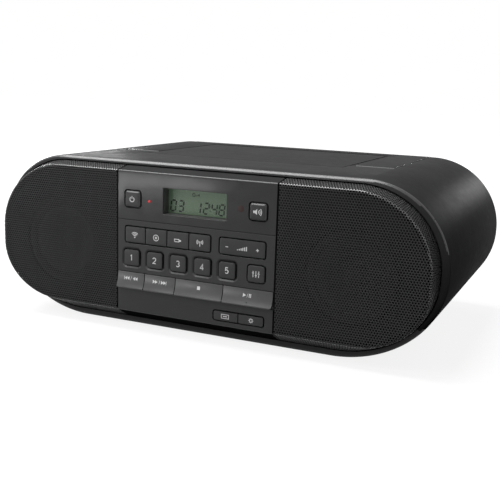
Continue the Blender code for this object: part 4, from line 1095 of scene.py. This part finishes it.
def make_key_marks():
    line = MARK_LINE
    shapes = [band(0, -0.2, 2, line, 125, 290, 28), bar(0, 1.4, line, 2.2)]
    key_mark("power_mark", "power_key", POWER_KEY_AT, PROUD_KEY, shapes)
    shapes = [bar(-3, 0, 1.3, 1.9), [(-2.2, -0.9), (-0.5, -2.2), (-0.5, 2.2), (-2.2, 0.9)]]
    shapes += [band(-0.6, 0, radius, line, -42, 84) for radius in (1.5, 2.7, 3.9)]
    key_mark("boost_mark", "boost_key", BOOST_KEY_AT, PROUD_KEY, shapes)
    shapes = []
    for x, knob in ((-2.4, 0.9), (0, -0.8), (2.4, 0.4)):
        shapes += [bar(x, 0, line, 5), bar(x, knob, 1.6, 0.8)]
    key_mark("sound_mark", "sound_key", SOUND_KEY_AT, RAISED_KEY, shapes)
    for name, at, proud in square_keys():
        if name.startswith("preset"):
            digit = name[-1]
            shapes = [stroke_path(path, 0.75) for path in digit_paths(digit, 4.6)]
            key_mark(f"preset_{digit}_mark", name, at, proud, shapes)


def make_row_marks():
    line = MARK_LINE
    wireless = [band(0, -1.6, radius, line, 45, 90) for radius in (1.6, 2.8, 4.0)]
    wireless.append(band(0, -1.6, 0.3, 0.6, 0, 359))
    disc = ring_mark(0, 0, 2.4, line) + ring_mark(0, 0, 0.75, line)
    stick = [stroke_path([(-2.9, -1), (1.2, -1), (1.2, 1), (-2.9, 1), (-2.9, -1.2)], line)]
    stick.append(bar(2.3, 0, 1.6, 1.3))
    radio = [bar(0, -0.9, line, 3.4), bar(0, 0.9, 1.2, 1.2)]
    radio += [band(0, 0.9, radius, line, start, 80) for start in (-40, 140) for radius in (1.6, 2.7)]
    left, right, low, high = SOURCE_ROW
    pitch = (right - left) / len(SOURCE_NAMES)
    for number, shapes in enumerate((wireless, disc, stick, radio)):
        at = (left + (number + 0.5) * pitch, (low + high) / 2 - 0.4)
        key_mark(f"source_mark_{number + 1}", SOURCE_NAMES[number], at, FLUSH_KEY, shapes)
    left, right, low, high = VOLUME_ROW
    away = (right - left) / 2 - 7.4
    shapes = [bar(-away, 0, 2.4, line), bar(away, 0, 2.4, line)]
    shapes += [bar(away, side * 0.71, line, 1) for side in (-1, 1)]
    for step in range(6):
        tall = 0.7 + 0.55 * step
        shapes.append(bar((step - 2.5) * 1.5, tall / 2 - 1.7, 0.8, tall))
    at = ((left + right) / 2, (low + high) / 2 - 0.3)
    key_mark("volume_mark", "volume_rocker", at, FLUSH_KEY, shapes)
    left, right, low, high = SETUP_ROW
    z = (low + high) / 2
    inset = (right - left) / 4
    screen = [stroke_path([(-3.2, -1.6), (3.2, -1.6), (3.2, 1.6), (-3.2, 1.6), (-3.2, -1.85)], 0.5)]
    key_mark("display_mark", "display_key", (left + inset, z), FLUSH_KEY, screen + [bar(0, 0, 3.6, 0.7)])
    gear = ring_mark(0, 0, 1.15, 0.5)
    for step in range(8):
        angle = math.tau * step / 8
        reach = Vector((math.cos(angle), math.sin(angle)))
        gear.append(stroke_path([reach * 1.3, reach * 2.05], 0.55))
    key_mark("setup_mark", "setup_key", (right - inset, z), FLUSH_KEY, gear)


def make_transport_marks():
    z = sum(TRANSPORT_Z) / 2 + 1.6
    tall = 3
    wide = 2.2
    marks = []
    for way in (-1, 1):
        far = way * 4.7
        shapes = [bar(far + way * 1.4, 0, 0.45, tall)]
        for step in range(2):
            shapes.append(triangle(far - way * step * wide, way * wide, tall))
            shapes.append(triangle(-way * (3.1 + step * wide), way * wide, tall))
        marks.append(shapes + [bar(-way * 0.2, 0, 0.3, tall, 0.3)])
    marks.append([bar(0, 0, 2.6, 2.6)])
    play = [triangle(-2.6, 2.6, tall), bar(0, 0, 0.3, tall, 0.3)]
    marks.append(play + [bar(x, 0, 0.6, tall) for x in (1.6, 2.8)])
    middles = [(a + b) / 2 for a, b in zip(TRANSPORT_SPLITS, TRANSPORT_SPLITS[1:])]
    for name, x, shapes in zip(TRANSPORT_NAMES, middles, marks):
        print_marks(name.replace("key", "mark"), name, (x, z), transport_face, shapes)
    dot_z = TRANSPORT_Z[0] + 2.9
    profile = [(0, 0.35), (0.25, 0.3), (0.45, 0.1), (0.5, -0.6), (0, -0.6)]
    nub = turned(profile, (middles[-1], transport_face(dot_z), dot_z), "Y", 24)
    piece(nub, "play_nub", INNER, "play_key", slot="transport_plastic")


def make_segments():
    """A track number and a playing time on the display, with a disc and three rising bars over them."""
    low, high = WINDOW[2:]
    z = 6.6
    shapes = []
    for x, character in ((-23.5, "0"), (-16.5, "3"), (-0.9, "1"), (6.4, "2"), (13.6, "4"), (20.2, "8")):
        shapes += segment_digit(character, x, z, 4.4, 8.6, 1.3)
    shapes += [bar(x, z + dz, 0.7, 0.7) for x, dz in ((9.9, -1.7), (10.2, 1.7))]
    top = high - low
    shapes += ring_mark(-5, top - 4.6, 1.2, 0.5)
    for step in range(3):
        tall = 0.8 + 0.6 * step
        shapes.append(bar(1.1 * step - 2.4, top - 5.4 + tall / 2, 0.7, tall))
    print_marks("display_segments", "cabinet", (0, low), GLASS_Y, shapes, SEGMENT, 0.03)


# Lid and handle


def make_lid():
    """A plate with a skirt, stiffening ribs below, a barrel on the hinge line and a boss for the clamp."""
    plate_low = TOP_Z - LID_PLATE
    lid = prism(rounded((-LID_HALF, LID_HALF, LID_FRONT_Y, LID_HINGE.y), 0.6), "Z", LID_SKIRT_Z, TOP_Z)
    half = LID_HALF - LID_SKIRT
    hollow = rounded((-half, half, LID_FRONT_Y + LID_SKIRT, LID_HINGE.y - LID_BARREL_R), 3)
    cut(lid, prism(hollow, "Z", LID_SKIRT_Z - 9, plate_low))
    barrel = cylinder(LID_HINGE, "X", LID_BARREL_R, 2 * LID_HALF, 64)
    trunnion_r = 2.4
    trunnion = cylinder(LID_HINGE, "X", trunnion_r, 2 * (WEB_X + 2.2), 32)
    boss_low, flange_top, boss_top = 133.2, 134.2, plate_low + 0.8
    neck_r = 5
    flange_r = 8
    profile = [(0, boss_top), (neck_r, boss_top), (neck_r, flange_top)]
    profile += [(flange_r, flange_top), (flange_r, boss_low), (0, boss_low)]
    boss = turned(profile, DISC_AT, "Z")
    ribs = []
    for x in (-LID_RIB_X, LID_RIB_X):
        low = (x - LID_RIB_HALF, LID_RIB_Y[0], plate_low - LID_RIB_HEIGHT)
        ribs.append(box(low, (x + LID_RIB_HALF, LID_RIB_Y[1], plate_low + 0.6)))
    fuse(lid, barrel, trunnion, boss, *ribs)
    round_edges(lid, 0.4, 2, 50)
    piece(lid, "lid", SHELL, "disc_lid", "disc_lid")
    # painted highlight: the lid front edge's upward faces get the glossier, paler edge plastic
    paint(lid, (HIGHLIGHT_EDGE, lambda at, normal: at.y < LID_FRONT_Y + 1 and normal.y < -0.08 and normal.z > 0.3))


def make_clamp():
    """The clamp puck in the lid, with a groove round the face that meets the disc."""
    low, ledge, high = 132.6, 134.8, 137.6
    bore, recess, crown, outer = 5.6, 8.6, 11, 15
    profile = [(bore, high), (crown, high)]
    for a in (0.5, 1, 1.5):
        profile.append((crown + (outer - crown) * math.sin(a), high - 2 * (1 - math.cos(a))))
    profile += [(outer, low + 0.4), (outer - 0.4, low)]
    profile += [(12.6, low), (12.3, low + 0.5), (10.6, low + 0.5), (10.3, low)]
    profile += [(recess, low), (recess, ledge), (bore, ledge)]
    piece(turned(profile, DISC_AT, "Z", 72, ring=True), "clamp_puck", INNER, "disc_clamp", "disc_clamp")


# The handle's upward-facing nose and flank edges, which take the glossier, paler edge plastic for painted
# highlight lines.
def handle_edge(at, normal):
    nose = at.y < HANDLE_PIVOT.y and normal.y < -0.08
    flank = abs(at.x) > HANDLE_X[1] - 1 and abs(normal.x) > 0.1
    return (nose or flank) and normal.z > 0.3


def make_handle():
    """A flat U with rounded front ends, thin joint grooves in its bar and a soft edge all round."""
    inner, outer = HANDLE_X
    nose = (TOP_Z - HANDLE_LOW_Z) / 2
    plan = arms_plan(outer, inner, HANDLE_FRONT_Y, HANDLE_BAR_Y, REAR_Y, corner=3, steps=8)
    handle = prism(plan, "Z", HANDLE_LOW_Z, TOP_Z)
    past = 5
    side = arc(HANDLE_PIVOT.yz, nose, 90, 20, 180)
    side += [(REAR_Y + past, HANDLE_LOW_Z), (REAR_Y + past, TOP_Z)]
    combine("INTERSECT", handle, prism(side, "X", -outer - past, outer + past))
    groove = 0.3
    joints = [
        box((x - groove, HANDLE_BAR_Y - past, TOP_Z - 0.6), (x + groove, REAR_Y + past, TOP_Z + past))
        for x in (-HANDLE_JOINT_X, HANDLE_JOINT_X)
    ]
    cut(handle, *joints)
    middle = (inner + outer) / 2
    bore_r = 2.35
    cut(handle, *[cylinder((x, *HANDLE_PIVOT.yz), "X", bore_r, 60, 32) for x in (-middle, middle)])
    round_edges(handle, 0.6, 3, 50)
    piece(handle, "carry_handle", SHELL, "handle", "handle")
    paint(handle, (HIGHLIGHT_EDGE, handle_edge))


# Rear


def soft_section(back, front, soft, inset=0.0):
    """(Y, inset) of a plate's wall and of the round to its rear face."""
    section = [(back, inset), (front - soft, inset)]
    for a in (0.5, 1, math.pi / 2):
        section.append((front - soft * (1 - math.sin(a)), inset + soft * (1 - math.cos(a))))
    return section


def make_rear_cover():
    """The rear plate with the battery housing, vents, sunk screw holes and socket openings."""
    plate_y = REAR_Y - REAR_PLATE
    section = soft_section(plate_y, REAR_Y, soft=0.8, inset=0.48)
    cover = loft([[(x, y, z) for x, z in outline(SHELL_INNER, inset)] for y, inset in section])
    section = [(plate_y, 0)] + [(BULGE_Y - fall, -inset) for fall, inset in quarter(BULGE_SOFT, 6)]
    fuse(cover, plate(BULGE, 7, section))

    def through(points, start=plate_y - PAST):
        return prism(points, "Y", start, REAR_Y + PAST)

    slack = 0.4
    notch = DECK_FLOOR_Z - DECK_GAP
    cut(
        cover,
        box((-TOP_HALF, plate_y - PAST, notch), (TOP_HALF, REAR_Y + PAST, TOP_Z)),
        box((-SCOOP_HALF, plate_y - PAST, SCOOP_Z), (SCOOP_HALF, REAR_Y + PAST, notch + PAST)),
        through(rounded(BAY, 1)),
        through(rounded(grown(BAY, DOOR_OVER + slack), 2), BULGE_Y - DOOR_THICK - slack),
    )
    holes = []
    for at, size in ((MAINS_AT, MAINS_SIZE), (USB_AT, USB_SIZE)):
        holes.append(through(rounded(grown(around(at, size), slack), 1)))
    holes.append(cylinder((PHONES_AT[0], REAR_Y, PHONES_AT[1]), "Y", PHONES_R + slack, PAST))
    holes += [cylinder((x, REAR_Y, z), "Y", SCREW_HOLE_R, 4, 32) for x, z in SCREW_PLACES]
    for middle, low, high in VENTS:
        for step in range(VENT_SLOTS):
            x = middle + (step - VENT_SLOTS // 2) * VENT_PITCH
            holes.append(through(rounded((x - VENT_HALF, x + VENT_HALF, low, high), VENT_HALF - 0.05)))
    cut(cover, join("cover_holes", *holes))
    piece(cover, "back_cover", SHELL, "cabinet", "rear_cover")


def make_screws():
    """Cross-head screws at the bottom of their sunk holes."""
    profile = [(0, -1.2), (1.4, -1.15), (2.4, -0.7), (2.7, 0), (0, 0)]
    y = REAR_Y - 1.9
    heads = []
    for x, z in SCREW_PLACES:
        head = turned(profile, (x, y, z), "Y", 32)
        arms = ((1.5, 0.35), (0.35, 1.5))
        heads.append(cut(head, *[box((x - a, y + 0.5, z - b), (x + a, y + 3, z + b)) for a, b in arms]))
    piece(join("screws", *heads), "rear_screws", STEEL, "cabinet")


def make_battery_door():
    low_y = BULGE_Y - DOOR_THICK
    high = BAY[3]
    section = [(y, -inset) for y, inset in soft_section(low_y, BULGE_Y, soft=0.5)]
    door = plate(grown(BAY, DOOR_OVER), 1.6, section)
    half = 7
    reach = 6
    tabs = []
    for x in (-BAY[1] / 2, BAY[1] / 2):
        tabs.append(box((x - half, low_y - reach, high - 2.4), (x + half, low_y + 1, high - 0.4)))
    fuse(door, *tabs)
    grips = []
    half = 14
    pitch = 2.2
    for row in range(6):
        slot = around((0, high - 2 - row * pitch), (2 * half, pitch / 2))
        grips.append(prism(rounded(slot, 0.5), "Y", BULGE_Y - 0.5, BULGE_Y + 2))
    z = high - 20
    arrow = [(0, z - 4), (4, z + 2), (-4, z + 2)]
    grips.append(prism(arrow, "Y", BULGE_Y - 0.4, BULGE_Y + 2))
    cut(door, join("door_grips", *grips))
    piece(door, "battery_cover", SHELL, "battery_door", "battery_door")


def bore_profile(low, high, radius, lip, bore):
    """A rod's outline from its outside at the open end to the bottom of its bore."""
    bottom = high - 8
    return [(radius, low + 0.3), (lip, low), (bore, low), (bore, bottom), (0, bottom)]


def make_aerial():
    """Chromed swivel, cheeks and telescopic rods."""
    at = AERIAL_AT
    line = (0, at.y, at.z)
    tilt_at = (AERIAL_TILT_X, at.y)
    radius = 6
    high_y = BULGE_Y - 0.3
    tall = high_y - REAR_Y - 0.4
    profile = [(0, 0)] + [(radius - inset, fall) for fall, inset in reversed(list(quarter(1)))]
    base = turned(profile + [(radius, tall), (0, tall)], (at.x, high_y, at.z), "Y", 48)
    plan = arc(tilt_at, 2, 90, 12, 180) + [(at.x, at.y - 2), (at.x, at.y + 2)]
    cheek = 1.2
    fuse(base, *[prism(plan, "Z", at.z + low, at.z + low + cheek) for low in (-3, 3 - cheek)])
    round_edges(base, 0.2, 2, 50)
    piece(base, "aerial_knuckle", CHROME, "aerial_base", "aerial_base")
    root = AERIAL_TILT_X - 4
    profile = [(0, root), (2.6, root), (3, root - 0.4)]
    profile += bore_profile(AERIAL_END_X, root, radius=3, lip=2.7, bore=2.3)
    tube = turned(profile, line, "X", 48)
    plan = arc(tilt_at, 1.6, -90, 12, 180) + [(root - 2, at.y + 1.6), (root - 2, at.y - 1.6)]
    fuse(tube, prism(plan, "Z", at.z - 1.4, at.z + 1.4))
    piece(tube, "aerial_outer_tube", CHROME, "aerial_tube", "aerial_tube")
    low, high = [corner.x for corner in node_box("aerial_mid")]
    profile = [(0, high), (2, high)] + bore_profile(low, high, radius=2, lip=1.8, bore=1.5)
    piece(turned(profile, line, "X", 40), "aerial_middle_rod", CHROME, "aerial_mid", "aerial_mid")
    low, high = [corner.x for corner in node_box("aerial_tip")]
    knob = 2.6
    profile = [(0, high), (1.2, high), (1.2, low + 5)]
    profile += [(knob - inset, low + 5 - fall) for fall, inset in reversed(list(quarter(0.8)))]
    profile += [(knob - inset, low + fall) for fall, inset in quarter(1.2)] + [(0, low)]
    piece(turned(profile, line, "X", 40), "aerial_tip_rod", CHROME, "aerial_tip", "aerial_tip")


def make_contacts():
    """Pins and contacts inside the sockets."""
    profile = [(0, 0), (1.2, 0), (1.2, -9.8), (1.1, -10.5), (0, -11)]
    x, z = MAINS_AT
    away = 4.3
    pins = [turned(profile, (x + side, REAR_Y - 14, z), "Y", 24) for side in (-away, away)]
    piece(join("pins", *pins), "mains_pins", BRASS, "cabinet", slot="steel")
    x, z = USB_AT
    tongue = box((x - 5.6, REAR_Y - 13, z + 0.3), (x + 5.6, REAR_Y - 1.6, z + 2.1))
    round_edges(tongue, 0.2, 2)
    piece(tongue, "stick_socket_tongue", INNER, "cabinet")
    x, z = PHONES_AT
    profile = [(1.85, 0), (3.2, 0), (3.4, 0.2), (3.4, 0.6), (1.85, 0.6)]
    collar = turned(profile, (x, REAR_Y - 0.3, z), "Y", 40, ring=True)
    piece(collar, "phones_collar", CHROME, "cabinet", slot="steel")


# Finishes of the nodes that stay as the frame has them
CARRIED_OVER = (
    (SHELL, "cd_deck"),
    (BOARD, "key_board", "main_board"),
    (RUBBER, "left_driver_frame", "right_driver_frame"),
    (INNER, "front_baffle", "cd_chassis", "battery_bay", "pickup_sled", "turntable"),
    (INNER, "mains_inlet", "usb_socket", "phones_socket"),
    (STEEL, "spindle_motor", "sled_rail", "sled_screw", "transformer"),
    (STEEL, "left_handle_pin", "right_handle_pin"),
)


def finish_nodes():
    for material, *names in CARRIED_OVER:
        for name in names:
            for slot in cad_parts[name].material_slots:
                slot.material = material


# Camera, light and floor, in metres


def make_camera():
    data = bpy.data.cameras.new("camera")
    data.sensor_width = CAMERA_SENSOR
    data.lens = CAMERA_LENS
    data.clip_start = 0.01
    camera = bpy.data.objects.new("camera", data)
    bpy.context.scene.collection.objects.link(camera)
    axes = Matrix((CAMERA_RIGHT, CAMERA_UP, CAMERA_BACK)).transposed().to_4x4()
    camera.matrix_world = Matrix.Translation(CAMERA_AT) @ axes
    bpy.context.scene.camera = camera


def soft_light(name, at, aim, size, power):
    data = bpy.data.lights.new(name, "AREA")
    data.shape = "RECTANGLE"
    data.size, data.size_y = size
    data.energy = power
    light = bpy.data.objects.new(name, data)
    bpy.context.scene.collection.objects.link(light)
    light.location = at
    light.rotation_euler = (Vector(aim) - Vector(at)).to_track_quat("-Z", "Y").to_euler()


def seen_directly(tree):
    """1 for rays from the camera, from a reflection or through clear plastic, and 0 for bounced light."""
    path = tree.add("ShaderNodeLightPath").outputs
    either = tree.math("MAXIMUM", path["Is Camera Ray"], path["Is Glossy Ray"])
    return tree.math("MAXIMUM", either, path["Is Transmission Ray"])


def make_floor():
    """A white floor that keeps the object's shadow and throws little light back up."""
    floor = box((-6000, -6000, -20), (6000, 6000, 0))
    floor.name = "floor"
    tree = Tree("floor_white")
    reach = tree.add("ShaderNodeVectorMath", {"operation": "LENGTH"}, Vector=tree.place())
    glow = tree.remap(reach.outputs["Value"], 0.4, 1.1, FLOOR_GLOW, 1)
    shown = tree.math("MULTIPLY", seen_directly(tree), glow)
    white = tree.finish(
        Base_Color=(0.2, 0.2, 0.2, 1),
        Roughness=0.9,
        Specular_IOR_Level=0.0,
        Emission_Color=(1, 1, 1, 1),
        Emission_Strength=shown,
    )
    floor.data.materials.append(white)


def make_light():
    tree = Tree("studio", "worlds")
    strength = tree.remap(seen_directly(tree), 0, 1, AMBIENT, 1)
    bpy.context.scene.world = tree.finish("Background", Color=(1, 1, 1, 1), Strength=strength)
    for name, settings in LIGHTS.items():
        soft_light(name, *settings)
    bpy.context.scene.view_settings.view_transform = "Standard"


make_shell()
make_feet()
make_grilles()
make_linings()
make_cones()
make_panel()
make_keys()
make_transport_keys()
make_display()
make_key_marks()
make_row_marks()
make_transport_marks()
make_segments()
make_lid()
make_clamp()
make_handle()
make_rear_cover()
make_screws()
make_battery_door()
make_aerial()
make_contacts()
finish_nodes()
make_camera()
make_floor()
make_light()
